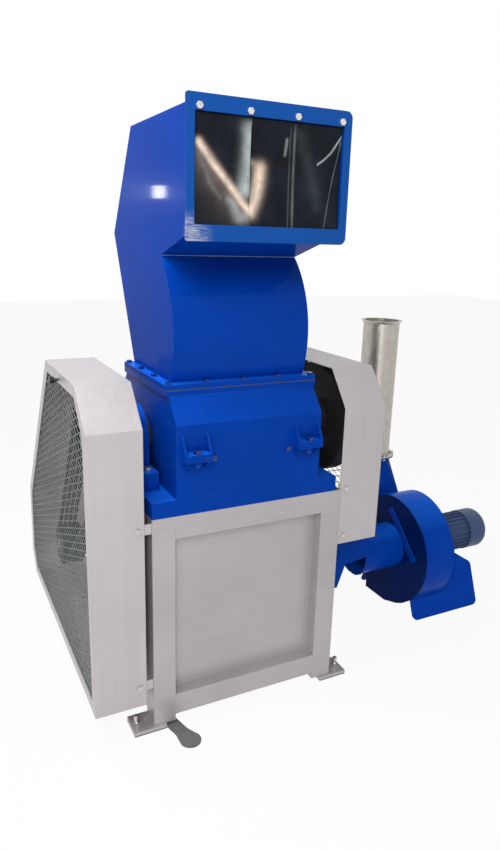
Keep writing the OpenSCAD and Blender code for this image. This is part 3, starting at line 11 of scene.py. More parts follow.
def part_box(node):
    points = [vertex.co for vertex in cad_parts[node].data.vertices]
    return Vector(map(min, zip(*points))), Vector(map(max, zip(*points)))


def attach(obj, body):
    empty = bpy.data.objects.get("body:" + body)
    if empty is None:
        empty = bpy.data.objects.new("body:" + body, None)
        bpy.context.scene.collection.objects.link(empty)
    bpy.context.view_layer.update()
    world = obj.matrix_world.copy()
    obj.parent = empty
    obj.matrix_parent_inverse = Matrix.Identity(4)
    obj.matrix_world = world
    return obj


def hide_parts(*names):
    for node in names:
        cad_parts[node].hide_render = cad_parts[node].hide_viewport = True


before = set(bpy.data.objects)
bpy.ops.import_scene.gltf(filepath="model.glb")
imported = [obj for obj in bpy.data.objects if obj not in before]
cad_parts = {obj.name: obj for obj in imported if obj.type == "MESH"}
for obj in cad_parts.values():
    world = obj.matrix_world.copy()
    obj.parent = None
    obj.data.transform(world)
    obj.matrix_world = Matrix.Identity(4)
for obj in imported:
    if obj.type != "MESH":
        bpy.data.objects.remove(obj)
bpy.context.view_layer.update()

bl_info = {
    "name": "Plastic granulator dressing",
    "version": (1, 0, 0),
    "blender": (4, 5, 0),
    "location": "View3D > Sidebar > Granulator",
    "description": "Finishes, guard mesh, curtain and studio of a plastic granulator",
    "category": "Object",
}


# ---------------------------------------------------------------- sizes and colours to change


class StudioSettings(bpy.types.PropertyGroup):
    """Sizes and light of the studio."""

    floor_span: bpy.props.FloatProperty(
        name="Floor span", description="Side of the square floor", default=30.0, unit="LENGTH"
    )
    key_power: bpy.props.FloatProperty(
        name="Key lamp", description="Power of the lamp over the left shoulder", default=84.0,
        unit="POWER",
    )
    fill_power: bpy.props.FloatProperty(
        name="Fill lamp", description="Power of the low lamp in front", default=26.0, unit="POWER"
    )
    window_power: bpy.props.FloatProperty(
        name="Window lamp", description="Power of the small lamp behind on the left", default=1.3,
        unit="POWER",
    )
    top_power: bpy.props.FloatProperty(
        name="Top lamp", description="Power of the lamp overhead", default=86.0, unit="POWER"
    )
    ambient: bpy.props.FloatProperty(
        name="Ambient", description="Strength of the room's even light", default=0.30, min=0.0, max=1.0
    )


class FinishSettings(bpy.types.PropertyGroup):
    """Colours of the finishes."""

    gloss_blue: bpy.props.FloatVectorProperty(
        name="Gloss blue", description="Paint of the hopper, chambers and blower",
        subtype="COLOR", size=3, min=0, max=1, default=(0.0006, 0.042, 0.33),
    )
    satin_silver: bpy.props.FloatVectorProperty(
        name="Satin silver", description="Paint of the stand and the guards",
        subtype="COLOR", size=3, min=0, max=1, default=(0.485, 0.452, 0.458),
    )
    slate: bpy.props.FloatVectorProperty(
        name="Motor slate", description="Enamel of the motors",
        subtype="COLOR", size=3, min=0, max=1, default=(0.048, 0.085, 0.19),
    )
    curtain_black: bpy.props.FloatVectorProperty(
        name="Curtain black", description="Rubber of the curtain strips",
        subtype="COLOR", size=3, min=0, max=1, default=(0.006, 0.006, 0.008),
    )


class MeshSettings(bpy.types.PropertyGroup):
    """Sizes of the expanded metal in the guards."""

    long_way: bpy.props.FloatProperty(
        name="Long way", description="Length of a diamond", default=0.062, unit="LENGTH"
    )
    short_way: bpy.props.FloatProperty(
        name="Short way", description="Height of a diamond", default=0.025, unit="LENGTH"
    )
    strand: bpy.props.FloatProperty(
        name="Strand width", description="Width of a strand", default=0.0030, unit="LENGTH"
    )
    gauge: bpy.props.FloatProperty(
        name="Gauge", description="Thickness of the sheet it is cut from", default=0.0015, unit="LENGTH"
    )
    knuckle: bpy.props.FloatProperty(
        name="Knuckle", description="Flat length where two strands meet", default=0.006, unit="LENGTH"
    )


class CurtainSettings(bpy.types.PropertyGroup):
    """Sizes of the rubber curtain."""

    thickness: bpy.props.FloatProperty(
        name="Thickness", description="Thickness of the rubber", default=0.003, unit="LENGTH"
    )
    crease: bpy.props.FloatProperty(
        name="Crease depth", description="How far a crease stands out of the sheet", default=0.007,
        unit="LENGTH",
    )


class PlateSettings(bpy.types.PropertyGroup):
    """Sizes of the cut plates."""

    corner: bpy.props.FloatProperty(
        name="Corner radius", description="Radius of the feed flange's right corners", default=0.020,
        unit="LENGTH",
    )
    bend: bpy.props.FloatProperty(
        name="Bend radius", description="Radius of the pedestal's corners", default=0.024, unit="LENGTH"
    )
    inlet: bpy.props.FloatProperty(
        name="Longer inlet", description="How much longer the round inlet is", default=0.070,
        unit="LENGTH",
    )


# ---------------------------------------------------------------- the studio's fixed values

WHITE = (1.0, 1.0, 1.0, 1.0)
FLOOR_GREY = (0.75, 0.75, 0.75, 1.0)
# how far the floor turns white where it is seen directly
FLOOR_GLOW = 0.93

# each lamp's name, its place, the point that it faces, and the side of its square
LAMPS = (
    ("key", (-1.45, -2.8, 3.1), (-0.1, 0.0, 1.2), 1.6),
    ("fill", (-1.6, -3.2, 0.35), (0.6, 0.4, 1.0), 0.4),
    ("top", (-1.35, 0.1, 3.7), (-0.1, 0.0, 1.0), 1.8),
    ("window", (-1.157, 2.55, 1.87), (-0.24, 0.15, 1.62), 0.08),
)

CAMERA_PLACE = (-0.935, -2.080, 1.575)
CAMERA_YAW, CAMERA_PITCH, CAMERA_ROLL = (math.radians(a) for a in (26.98, -15.44, 1.63))
CAMERA_LENS_MM, CAMERA_FILM_MM, CAMERA_SIGHT = 28.466, 36.0, 100.0


# ---------------------------------------------------------------- the finishes' fixed values

DUST = (0.5, 0.48, 0.45)
RUST = (0.16, 0.07, 0.03)
BARE_STEEL = (0.42, 0.41, 0.39)
WORN_STEEL = (0.5, 0.47, 0.43)
BRIGHT_STEEL = (0.75, 0.74, 0.72)
SCRAPED_PAINT = (0.60, 0.58, 0.57)
SCUFFED_RUBBER = (0.3, 0.29, 0.27)
# painted highlight: a pale blue sheen for faces that look up, in place of light reflected from above
PAINTED_BLUE_SHEEN = (0.002, 0.15, 0.85)
# painted light: a lighter blue on the front of the feed flange, where light falls on it
PAINTED_LIT_FLANGE_BLUE = (0.010, 0.080, 0.30)
# painted shade: a near black blue for the blower's side plate, which lies in shade
PAINTED_SHADE_BLUE = (0.0005, 0.003, 0.022)

# how finely a pattern changes along X, Y and Z
LEVEL_STROKES = (2.2, 2.2, 130.0)
UPRIGHT_STROKES = (60.0, 60.0, 2.0)
SPRAYED = (26.0, 26.0, 26.0)
CAST = (8.0, 8.0, 8.0)

# the scraped place on the feed flange: its centre and its reach
SCRAPED_PLACE = ((-0.258, -0.353, 1.572), 0.085)
# where a painted tint starts and is full: the front of the feed flange (Y), painted lighter, and of the
# blower's side plate (X), painted in shade
FLANGE_FACE = (-0.347, -0.349)
SIDE_PLATE_FACE = (0.8845, 0.8849)
# height at which the hopper's bolts go from paint to bare zinc
BOLT_PAINT_TOP = 1.5

# the CAD nodes that take each finish
FINISH_OF = {
    "gloss_blue": ["base_plate", "lower_chamber", "upper_chamber", "curtain_bar", "bearing_housings"],
    "hopper_blue": ["hopper_shell"],
    "painted_bolts": ["clamp_bolt_left", "clamp_bolt_right", "bed_knife_screws", "bearing_rings"],
    "hopper_bolt_mix": ["hopper_bolts"],
    "blower_blue": ["suction_duct", "inlet_pipe", "blower_casing", "blower_pedestal", "discharge_hood"],
    "shaded_blue": ["blower_side_plate"],
    "satin_silver": ["stand_legs", "stand_rails", "front_panel", "side_panels", "foot_plates"],
    "guard_silver": ["belt_guard", "flywheel_guard", "guard_brackets", "motor_bed"],
    "mesh_paint": ["guard_mesh"],
    "motor_slate": ["motor_body", "motor_cowl", "motor_terminal_box", "blower_motor", "blower_cowl"],
    "cast_black": ["flywheel", "driven_pulley", "motor_pulley", "shaft_collars"],
    "rotor_paint": ["rotor_discs", "blower_impeller"],
    "zinc_plate": [
        "levelling_screws", "bearing_bolts", "guard_screws", "discharge_bolts", "knife_screws",
    ],
    "machined_steel": ["rotor_shaft", "motor_shaft", "hinge_pins"],
    "knife_steel": ["rotor_knives", "bed_knives"],
    "mill_steel": ["screen_cradle"],
    "perforated_steel": ["screen"],
    "galvanised": ["discharge_pipe", "collecting_chute"],
    "belt_rubber": ["v_belts", "curtain_left", "curtain_centre", "curtain_right"],
    "pad_rubber": ["foot_pads"],
    "gasket_rubber": ["hopper_gasket"],
    "knob_plastic": ["guard_knob"],
}


# ---------------------------------------------------------------- the pieces' fixed values

# the belt guard's mesh, its corners as shares of the CAD mesh's depth and height
GUARD_WINDOW = (
    (0.0, 0.0), (0.947, 0.0), (1.0, 0.092), (0.973, 0.363), (0.489, 1.0), (0.104, 1.0), (0.0, 0.878),
)
# how far a strand is turned out of the sheet
STRAND_LEAN = math.radians(-24)

# the flywheel guard's outer side, its corners (Y, Z) counter-clockwise seen from +X
FLYWHEEL_SIDE = (
    (-0.272, 0.539), (0.345, 0.539), (0.345, 1.036), (0.250, 1.157), (-0.177, 1.157), (-0.272, 1.036),
)
FLYWHEEL_BORDER, FLYWHEEL_WALL = 0.038, 0.003
# the mesh is this much larger than the opening, and its middle lies this far behind the wall
MESH_OVERLAP, MESH_BEHIND = 1.015, 0.0016

# the feed flange: its edges, the plane (Y) behind which the hopper isn't cut, and the left corners'
# radius as a share of the right ones'
FLANGE_LEFT, FLANGE_RIGHT, FLANGE_BOTTOM, FLANGE_TOP = -0.262, 0.244, 1.566, 1.931
FLANGE_BACK = -0.3445
FLANGE_LEFT_SHARE = 0.3

# points (Y, Z) of the curve below the front of the blower's side plate
SIDE_PLATE_CURVE = ((-0.0641, 0.075), (-0.030, 0.048), (0.010, 0.027), (0.050, 0.014))

# the duct's end plate: the radius of its lower half and its thickness, and how near to the joint a
# point lies that moves with it
DUCT_END_RADIUS, DUCT_END_PLATE, DUCT_JOINT = 0.100, 0.010, 0.015

# the seam under the feed mouth: its ends, the bead's radius, and the length of a ripple
BELLY_SEAM = (Vector((-0.2405, -0.0935, 1.5225)), Vector((0.2225, -0.0935, 1.5225)))
BEAD_RADIUS, BEAD_RIPPLE = 0.0030, 0.006

# The curtain. A crease is a bent line, its points as shares of the strip's width and drop. After it come
# the width of the crest of its painted reflection and the reach of that reflection's soft lower side,
# both as shares of the width, and from 0 to 1 its depth, how brown its painted reflection is, and how
# grey.
CREASES = {
    "curtain_left": (
        (
            ((0.09, 0.25), (0.36, 0.44), (0.66, 0.63), (0.90, 0.78), (1.0, 0.83)),
            0.065, 0.34, 1.0, 1.0, 0.0,
        ),
        (((0.94, 0.04), (0.97, 0.22), (0.93, 0.46), (0.90, 0.66)), 0.120, 0.16, 0.7, 0.0, 0.95),
        (((0.66, 0.74), (0.80, 0.90), (0.97, 0.86)), 0.090, 0.16, 0.4, 0.0, 0.60),
        (((0.10, 0.35), (0.30, 0.62), (0.46, 0.72)), 0.050, 0.22, 0.3, 0.10, 0.12),
    ),
    "curtain_centre": (
        (((0.0, 0.84), (0.12, 0.70), (0.20, 0.55), (0.20, 0.44)), 0.140, 0.20, 0.9, 1.0, 0.0),
        (((0.06, 0.40), (0.22, 0.42)), 0.090, 0.20, 0.3, 0.40, 0.0),
        (((0.88, 0.16), (0.84, 0.30)), 0.035, 0.10, 0.3, 0.0, 0.45),
        (((0.97, 0.04), (0.97, 0.96)), 0.020, 0.08, 0.3, 0.0, 0.15),
    ),
    "curtain_right": (
        (((1.0, 0.08), (0.80, 0.24), (0.66, 0.31), (0.53, 0.36)), 0.016, 0.03, 0.7, 0.0, 0.95),
        (((0.99, 0.13), (0.84, 0.53), (0.71, 0.98)), 0.008, 0.03, 0.5, 0.0, 0.40),
        (((0.05, 0.02), (0.06, 0.98)), 0.022, 0.10, 0.4, 0.0, 0.28),
        (((0.15, 0.10), (0.55, 0.75)), 0.120, 0.45, 0.4, 0.0, 0.05),
    ),
}
SHEET_COLUMNS, SHEET_ROWS = 90, 130
# the sheet is this much shorter than the strip's place, with this gap at its top
SHEET_SHORTER, SHEET_TOP_GAP = 0.001, 0.0008
# how far a crease pulls the sheet along, as a share of its width
CREASE_PULL = 0.16
# a painted reflection's soft side wider than the first share shows, this strongly, over this share of
# its reach
SOFT_FROM, SOFT_STRENGTH, SOFT_SPREAD = 0.25, 0.30, 0.55
# share of the drop over which the bar still holds the sheet flat, and how much it sways below
SHEET_HELD, SHEET_SWAY = 0.1, 0.25


# ---------------------------------------------------------------- node trees


def add(tree, kind, **values):
    """A new node of the tree. Values that name a socket are set or linked, others are the node's own."""
    n = tree.nodes.new(kind)
    for key, value in values.items():
        if hasattr(n, key):
            setattr(n, key, value)
        else:
            feed(tree, n.inputs[key.replace("_", " ")], value)
    return n


def feed(tree, socket, value):
    """Links an output to the socket, or sets its plain value."""
    if isinstance(value, bpy.types.NodeSocket):
        tree.links.new(value, socket)
    else:
        socket.default_value = value


def sums(tree, operation, *values):
    """A Math node's output."""
    n = add(tree, "ShaderNodeMath", operation=operation)
    for socket, value in zip(n.inputs, values):
        feed(tree, socket, value)
    return n.outputs[0]


def times(tree, first, second):
    """Two values multiplied."""
    return sums(tree, "MULTIPLY", first, second)


def vectors(tree, operation, first, second):
    """A Vector Math node's outputs."""
    n = add(tree, "ShaderNodeVectorMath", operation=operation)
    feed(tree, n.inputs[0], first)
    feed(tree, n.inputs[1], second)
    return n.outputs


def parts(tree, vector):
    """The three parts of a vector or a colour."""
    n = add(tree, "ShaderNodeSeparateXYZ")
    feed(tree, n.inputs[0], vector)
    return n.outputs


def spread(tree, value, low, high, to_low=0.0, to_high=1.0):
    """A value stretched from low..high to another range, and held there."""
    n = add(tree, "ShaderNodeMapRange", clamp=True)
    for socket, v in zip(n.inputs, (value, low, high, to_low, to_high)):
        feed(tree, socket, v)
    return n.outputs[0]


def blend(tree, share, first, second):
    """Two colours mixed by a share. A plain colour is given as its red, green and blue."""
    n = add(tree, "ShaderNodeMix", data_type="RGBA")
    feed(tree, n.inputs[0], share)
    for socket, v in ((n.inputs[6], first), (n.inputs[7], second)):
        feed(tree, socket, v if isinstance(v, bpy.types.NodeSocket) else (*v, 1.0))
    return n.outputs[2]


def noise(tree, place, scale, detail=3.0, rough=0.55):
    """A noise's value."""
    n = add(tree, "ShaderNodeTexNoise", Vector=place, Scale=scale, Detail=detail, Roughness=rough)
    return n.outputs[0]


def bumped(tree, height, strength, distance, normal=None):
    """A bump over a normal."""
    n = add(tree, "ShaderNodeBump", Strength=strength, Distance=distance, Height=height)
    if normal is not None:
        feed(tree, n.inputs["Normal"], normal)
    return n.outputs[0]


def seen_directly(tree):
    """1 where a camera, mirror or glass ray looks, else 0."""
    path = add(tree, "ShaderNodeLightPath")
    mirrored = sums(tree, "MAXIMUM", path.outputs["Is Glossy Ray"], path.outputs["Is Transmission Ray"])
    return sums(tree, "MAXIMUM", path.outputs["Is Camera Ray"], mirrored)


def shared_group(name, inputs, outputs):
    """An empty group with these sockets, and its input and output nodes' sockets."""
    tree = bpy.data.node_groups.new(name, "ShaderNodeTree")
    for key, value in inputs:
        kind = "NodeSocketVector" if isinstance(value, tuple) else "NodeSocketFloat"
        tree.interface.new_socket(key, in_out="INPUT", socket_type=kind).default_value = value
    for key, kind in outputs:
        tree.interface.new_socket(key, in_out="OUTPUT", socket_type=kind)
    return tree, tree.nodes.new("NodeGroupInput").outputs, tree.nodes.new("NodeGroupOutput").inputs


def build_shared_groups():
    """The effects that several finishes use: brush streaks, clouding, rubbed edges with the band of a
    painted edge highlight, and settled dust with the level mask of a painted sheen.
    """
    number, vector = "NodeSocketFloat", "NodeSocketVector"

    tree, given, made = shared_group(
        "Brush streaks",
        [("Place", (0.0, 0.0, 0.0)), ("Stretch", (3.0, 3.0, 150.0)), ("Grain", 900.0)],
        [("Streak", number), ("Height", number)],
    )
    drawn = vectors(tree, "MULTIPLY", given["Place"], given["Stretch"])[0]
    lines = noise(tree, drawn, 1.0, 5.0, 0.6)
    peel = noise(tree, given["Place"], given["Grain"], 1.0)
    feed(tree, made["Streak"], spread(tree, lines, 0.33, 0.68))
    feed(tree, made["Height"], sums(tree, "MULTIPLY_ADD", peel, 0.25, lines))

    tree, given, made = shared_group(
        "Clouding",
        [("Place", (0.0, 0.0, 0.0)), ("Scale", 3.0), ("Speck scale", 160.0)],
        [("Cloud", number), ("Speck", number)],
    )
    broad = noise(tree, given["Place"], given["Scale"], 3.0)
    specks = noise(tree, given["Place"], given["Speck scale"], 2.0, 0.5)
    gate = spread(tree, noise(tree, given["Place"], times(tree, given["Scale"], 2.7), 2.0), 0.42, 0.62)
    feed(tree, made["Cloud"], spread(tree, broad, 0.3, 0.7))
    feed(tree, made["Speck"], times(tree, spread(tree, specks, 0.66, 0.76), gate))

    # its Band is also where a painted highlight is laid along the edges
    tree, given, made = shared_group(
        "Rubbed edges",
        [("Place", (0.0, 0.0, 0.0)), ("Radius", 0.002), ("Reach", 0.5)],
        [("Mask", number), ("Band", number), ("Rounded", vector)],
    )
    rounded = add(tree, "ShaderNodeBevel", samples=4, Radius=given["Radius"]).outputs[0]
    flat = add(tree, "ShaderNodeNewGeometry").outputs["Normal"]
    turned = sums(tree, "SUBTRACT", 1.0, vectors(tree, "DOT_PRODUCT", rounded, flat)["Value"])
    patchy = spread(tree, noise(tree, given["Place"], 26.0, 5.0, 0.65), 0.5, 0.62)
    band = spread(tree, turned, 0.004, 0.12)
    feed(tree, made["Band"], band)
    feed(tree, made["Mask"], times(tree, times(tree, band, patchy), given["Reach"]))
    feed(tree, made["Rounded"], rounded)

    # its Level mask also places the painted sheen, a painted highlight on faces that look up
    tree, given, made = shared_group(
        "Settled dust",
        [("Place", (0.0, 0.0, 0.0)), ("Amount", 0.3)],
        [("Mask", number), ("Level", number)],
    )
    facing = parts(tree, add(tree, "ShaderNodeTexCoord").outputs["Normal"])
    lying = spread(tree, facing[2], 0.60, 0.97)
    uneven = spread(tree, noise(tree, given["Place"], 9.0, 5.0, 0.6), 0.3, 0.75)
    feed(tree, made["Mask"], times(tree, times(tree, lying, uneven), given["Amount"]))
    feed(tree, made["Level"], lying)


def effect(tree, name, **values):
    """One of the shared groups, placed in a material with its own values."""
    n = tree.nodes.new("ShaderNodeGroup")
    n.node_tree = bpy.data.node_groups[name]
    for key, value in values.items():
        feed(tree, n.inputs[key.replace("_", " ")], value)
    return n.outputs


# ---------------------------------------------------------------- kinds of finish


def new_material(name):
    """A new material's tree, its shader, and the place on the object."""
    m = bpy.data.materials.new(name)
    m.use_nodes = True
    tree = m.node_tree
    tree.nodes.clear()
    shader = tree.nodes.new("ShaderNodeBsdfPrincipled")
    out = tree.nodes.new("ShaderNodeOutputMaterial")
    tree.links.new(shader.outputs[0], out.inputs["Surface"])
    return tree, shader, add(tree, "ShaderNodeTexCoord").outputs["Object"]


def painted(name, base, shade, light, stretch, rough, coat=0.0, metallic=0.0, radius=0.002, rub=0.35,
            dust=0.2, bare=BARE_STEEL, specular=0.5, peel=0.06, draw=0.12, patch=None, painted_sheen=None,
            painted_light_tint=None):
    """Sprayed or brushed paint: clouding between two shades, streaks, rubbed edges, a painted edge
    highlight and some dust.

    patch is a scraped place, as its centre and reach. painted_sheen is a painted highlight: the colour
    that faces take that look up, in place of light reflected from above.
    painted_light_tint lays painted light or painted shade past a plane: an axis, where the tint starts
    on it, where it is full, and the tint.
    """
    tree, shader, place = new_material(name)
    streaks = effect(tree, "Brush streaks", Place=place, Stretch=stretch)
    clouds = effect(tree, "Clouding", Place=place)
    edges = effect(tree, "Rubbed edges", Place=place, Radius=radius, Reach=rub)
    dusty = effect(tree, "Settled dust", Place=place, Amount=dust)
    body = blend(tree, clouds["Cloud"], shade, base)
    body = blend(tree, times(tree, streaks["Streak"], draw), body, light)
    # painted highlight: the paint is made lighter in a band along every rounded edge
    body = blend(tree, times(tree, edges["Band"], 0.3), body, light)
    body = blend(tree, edges["Mask"], body, bare)
    body = blend(tree, times(tree, clouds["Speck"], 0.06), body, bare)
    # painted light or shade: past a plane across the axis the colour goes towards the tint
    if painted_light_tint:
        axis, start, full, tint = painted_light_tint
        body = blend(tree, spread(tree, parts(tree, place)[axis], start, full, 0.0, 0.75), body, tint)
    if patch:
        body = blend(tree, worn_patch(tree, place, *patch), body, SCRAPED_PAINT)
    # painted highlight: faces that look up are blended towards a paler colour, as if lit from above
    if painted_sheen:
        body = blend(tree, times(tree, dusty["Level"], 0.55), body, painted_sheen)
    body = blend(tree, dusty["Mask"], body, DUST)
    feed(tree, shader.inputs["Base Color"], body)
    gloss = spread(tree, streaks["Streak"], 0.0, 1.0, rough * 0.85, rough * 1.2)
    feed(tree, shader.inputs["Roughness"], sums(tree, "MULTIPLY_ADD", dusty["Mask"], 0.2, gloss))
    shader.inputs["Metallic"].default_value = metallic
    shader.inputs["Specular IOR Level"].default_value = specular
    shader.inputs["Coat Weight"].default_value = coat
    shader.inputs["Coat Roughness"].default_value = 0.06
    feed(tree, shader.inputs["Normal"], bumped(tree, streaks["Height"], peel, 0.002, edges["Rounded"]))


def worn_patch(tree, place, centre, reach):
    """Near 1 where the paint has been brushed off, in scratches that thin out away from the centre."""
    away = vectors(tree, "DISTANCE", place, centre)["Value"]
    near = spread(tree, away, reach * 0.15, reach, 1.0, 0.0)
    slanted = add(tree, "ShaderNodeMapping", Vector=place, Rotation=(0.0, math.radians(52), 0.0),
                  Scale=(26.0, 26.0, 420.0))
    scratched = spread(tree, noise(tree, slanted.outputs[0], 1.0, 5.0, 0.65), 0.42, 0.66)
    smeared = spread(tree, noise(tree, place, 60.0, 4.0, 0.6), 0.3, 0.7)
    both = sums(tree, "MULTIPLY_ADD", scratched, 0.75, times(tree, smeared, 0.35))
    return spread(tree, times(tree, near, both), 0.05, 0.75, 0.0, 0.8)


def metal(name, base, dark, rough, stretch=(6.0, 6.0, 6.0), metallic=1.0, radius=0.0012, stain=0.5,
          rust=0.0, bump=0.08):
    """Bare, plated or oiled metal: a drawn grain, darker stains, bright edges and flecks of rust."""
    tree, shader, place = new_material(name)
    grain = effect(tree, "Brush streaks", Place=place, Stretch=stretch, Grain=1400.0)
    clouds = effect(tree, "Clouding", Place=place, Scale=14.0, Speck_scale=420.0)
    edges = effect(tree, "Rubbed edges", Place=place, Radius=radius, Reach=0.6)
    body = blend(tree, times(tree, clouds["Cloud"], stain), base, dark)
    body = blend(tree, times(tree, clouds["Speck"], rust), body, RUST)
    body = blend(tree, edges["Mask"], body, BRIGHT_STEEL)
    feed(tree, shader.inputs["Base Color"], body)
    gloss = spread(tree, grain["Streak"], 0.0, 1.0, rough * 0.75, rough * 1.3)
    feed(tree, shader.inputs["Roughness"], gloss)
    shader.inputs["Metallic"].default_value = metallic
    feed(tree, shader.inputs["Normal"], bumped(tree, grain["Height"], bump, 0.001, edges["Rounded"]))


def rubber(name, base, rough, grain, wear):
    """Moulded or cut rubber and plastic: a fine grain, scuffs and a pale bloom."""
    tree, shader, place = new_material(name)
    clouds = effect(tree, "Clouding", Place=place, Scale=11.0, Speck_scale=grain)
    streaks = effect(tree, "Brush streaks", Place=place, Stretch=(30.0, 30.0, 30.0), Grain=grain * 2)
    dusty = effect(tree, "Settled dust", Place=place, Amount=wear)
    body = blend(tree, times(tree, clouds["Cloud"], 0.5), base, toned(base, 1.7, 0.01))
    scuffs = sums(tree, "MAXIMUM", dusty["Mask"], times(tree, clouds["Speck"], wear))
    body = blend(tree, scuffs, body, SCUFFED_RUBBER)
    feed(tree, shader.inputs["Base Color"], body)
    gloss = spread(tree, streaks["Streak"], 0.0, 1.0, rough * 0.8, rough * 1.25)
    feed(tree, shader.inputs["Roughness"], gloss)
    shader.inputs["Specular IOR Level"].default_value = 0.5
    feed(tree, shader.inputs["Normal"], bumped(tree, streaks["Height"], 0.12, 0.001))


def galvanised(name):
    """Zinc sheet: a spangle of crystals with soft joints, drawn lightly along the pipe."""
    tree, shader, place = new_material(name)
    drawn = vectors(tree, "MULTIPLY", place, (1.0, 1.0, 0.55))[0]
    crystals = add(tree, "ShaderNodeTexVoronoi", feature="F1", Vector=drawn, Scale=95.0, Randomness=1.0)
    tone = parts(tree, crystals.outputs["Color"])
    streaks = effect(tree, "Brush streaks", Place=place, Stretch=(90.0, 90.0, 2.5), Grain=700.0)
    edges = effect(tree, "Rubbed edges", Place=place, Radius=0.0015, Reach=0.3)
    body = blend(tree, tone[0], (0.42, 0.395, 0.355), (0.50, 0.47, 0.42))
    body = blend(tree, times(tree, streaks["Streak"], 0.12), body, (0.40, 0.38, 0.34))
    feed(tree, shader.inputs["Base Color"], body)
    feed(tree, shader.inputs["Roughness"], spread(tree, tone[1], 0.0, 1.0, 0.33, 0.42))
    shader.inputs["Metallic"].default_value = 0.9
    feed(tree, shader.inputs["Normal"], bumped(tree, streaks["Height"], 0.015, 0.001, edges["Rounded"]))


def curtain_rubber(name, black):
    """Glossy black rubber, hazed and streaked. The sheet's own attributes say where painted reflections
    make it pale.
    """
    tree, shader, place = new_material(name)
    # painted reflections: the attributes bloom and crease say where the sheet is painted pale grey and
    # pale warm brown
    grey_reflection = add(tree, "ShaderNodeAttribute", attribute_name="bloom").outputs["Fac"]
    warm_reflection = add(tree, "ShaderNodeAttribute", attribute_name="crease").outputs["Fac"]
    streaks = effect(tree, "Brush streaks", Place=place, Stretch=(80.0, 20.0, 5.0), Grain=500.0)
    haze = effect(tree, "Clouding", Place=place, Scale=9.0, Speck_scale=240.0)
    broken = spread(tree, noise(tree, place, 26.0, 5.0, 0.6), 0.25, 0.7, 0.55, 1.15)
    body = blend(tree, times(tree, haze["Cloud"], 0.6), black, (0.015, 0.021, 0.032))
    body = blend(tree, times(tree, streaks["Streak"], 0.025), body, (0.10, 0.12, 0.15))
    body = blend(tree, times(tree, grey_reflection, broken), body, (0.40, 0.45, 0.45))
    body = blend(tree, times(tree, warm_reflection, broken), body, (0.78, 0.62, 0.50))
    feed(tree, shader.inputs["Base Color"], body)
    pale = sums(tree, "MAXIMUM", grey_reflection, warm_reflection)
    gloss = spread(tree, haze["Cloud"], 0.0, 1.0, 0.12, 0.26)
    feed(tree, shader.inputs["Roughness"], sums(tree, "MULTIPLY_ADD", pale, 0.3, gloss))
    shader.inputs["Specular IOR Level"].default_value = 0.05
    feed(tree, shader.inputs["Normal"], bumped(tree, haze["Cloud"], 0.15, 0.002))


def two_tone_bolts(name, height):
    """Bolts that are zinc above a height and painted over below it."""
    tree, shader, place = new_material(name)
    bright = spread(tree, parts(tree, place)[2], height - 0.01, height + 0.01)
    clouds = effect(tree, "Clouding", Place=place, Scale=40.0, Speck_scale=900.0)
    edges = effect(tree, "Rubbed edges", Place=place, Radius=0.001, Reach=0.6)
    zinc = blend(tree, clouds["Cloud"], (0.80, 0.78, 0.74), (0.60, 0.58, 0.55))
    paint = blend(tree, edges["Mask"], (0.001, 0.016, 0.13), (0.35, 0.38, 0.45))
    feed(tree, shader.inputs["Base Color"], blend(tree, bright, paint, zinc))
    feed(tree, shader.inputs["Metallic"], times(tree, bright, 0.85))
    feed(tree, shader.inputs["Roughness"], spread(tree, clouds["Cloud"], 0.0, 1.0, 0.2, 0.3))
    feed(tree, shader.inputs["Normal"], bumped(tree, clouds["Cloud"], 0.1, 0.001, edges["Rounded"]))


def toned(rgb, factor, lift=0.0):
    """A colour made darker or lighter by a factor, then lifted."""
    return [x * factor + lift for x in rgb]


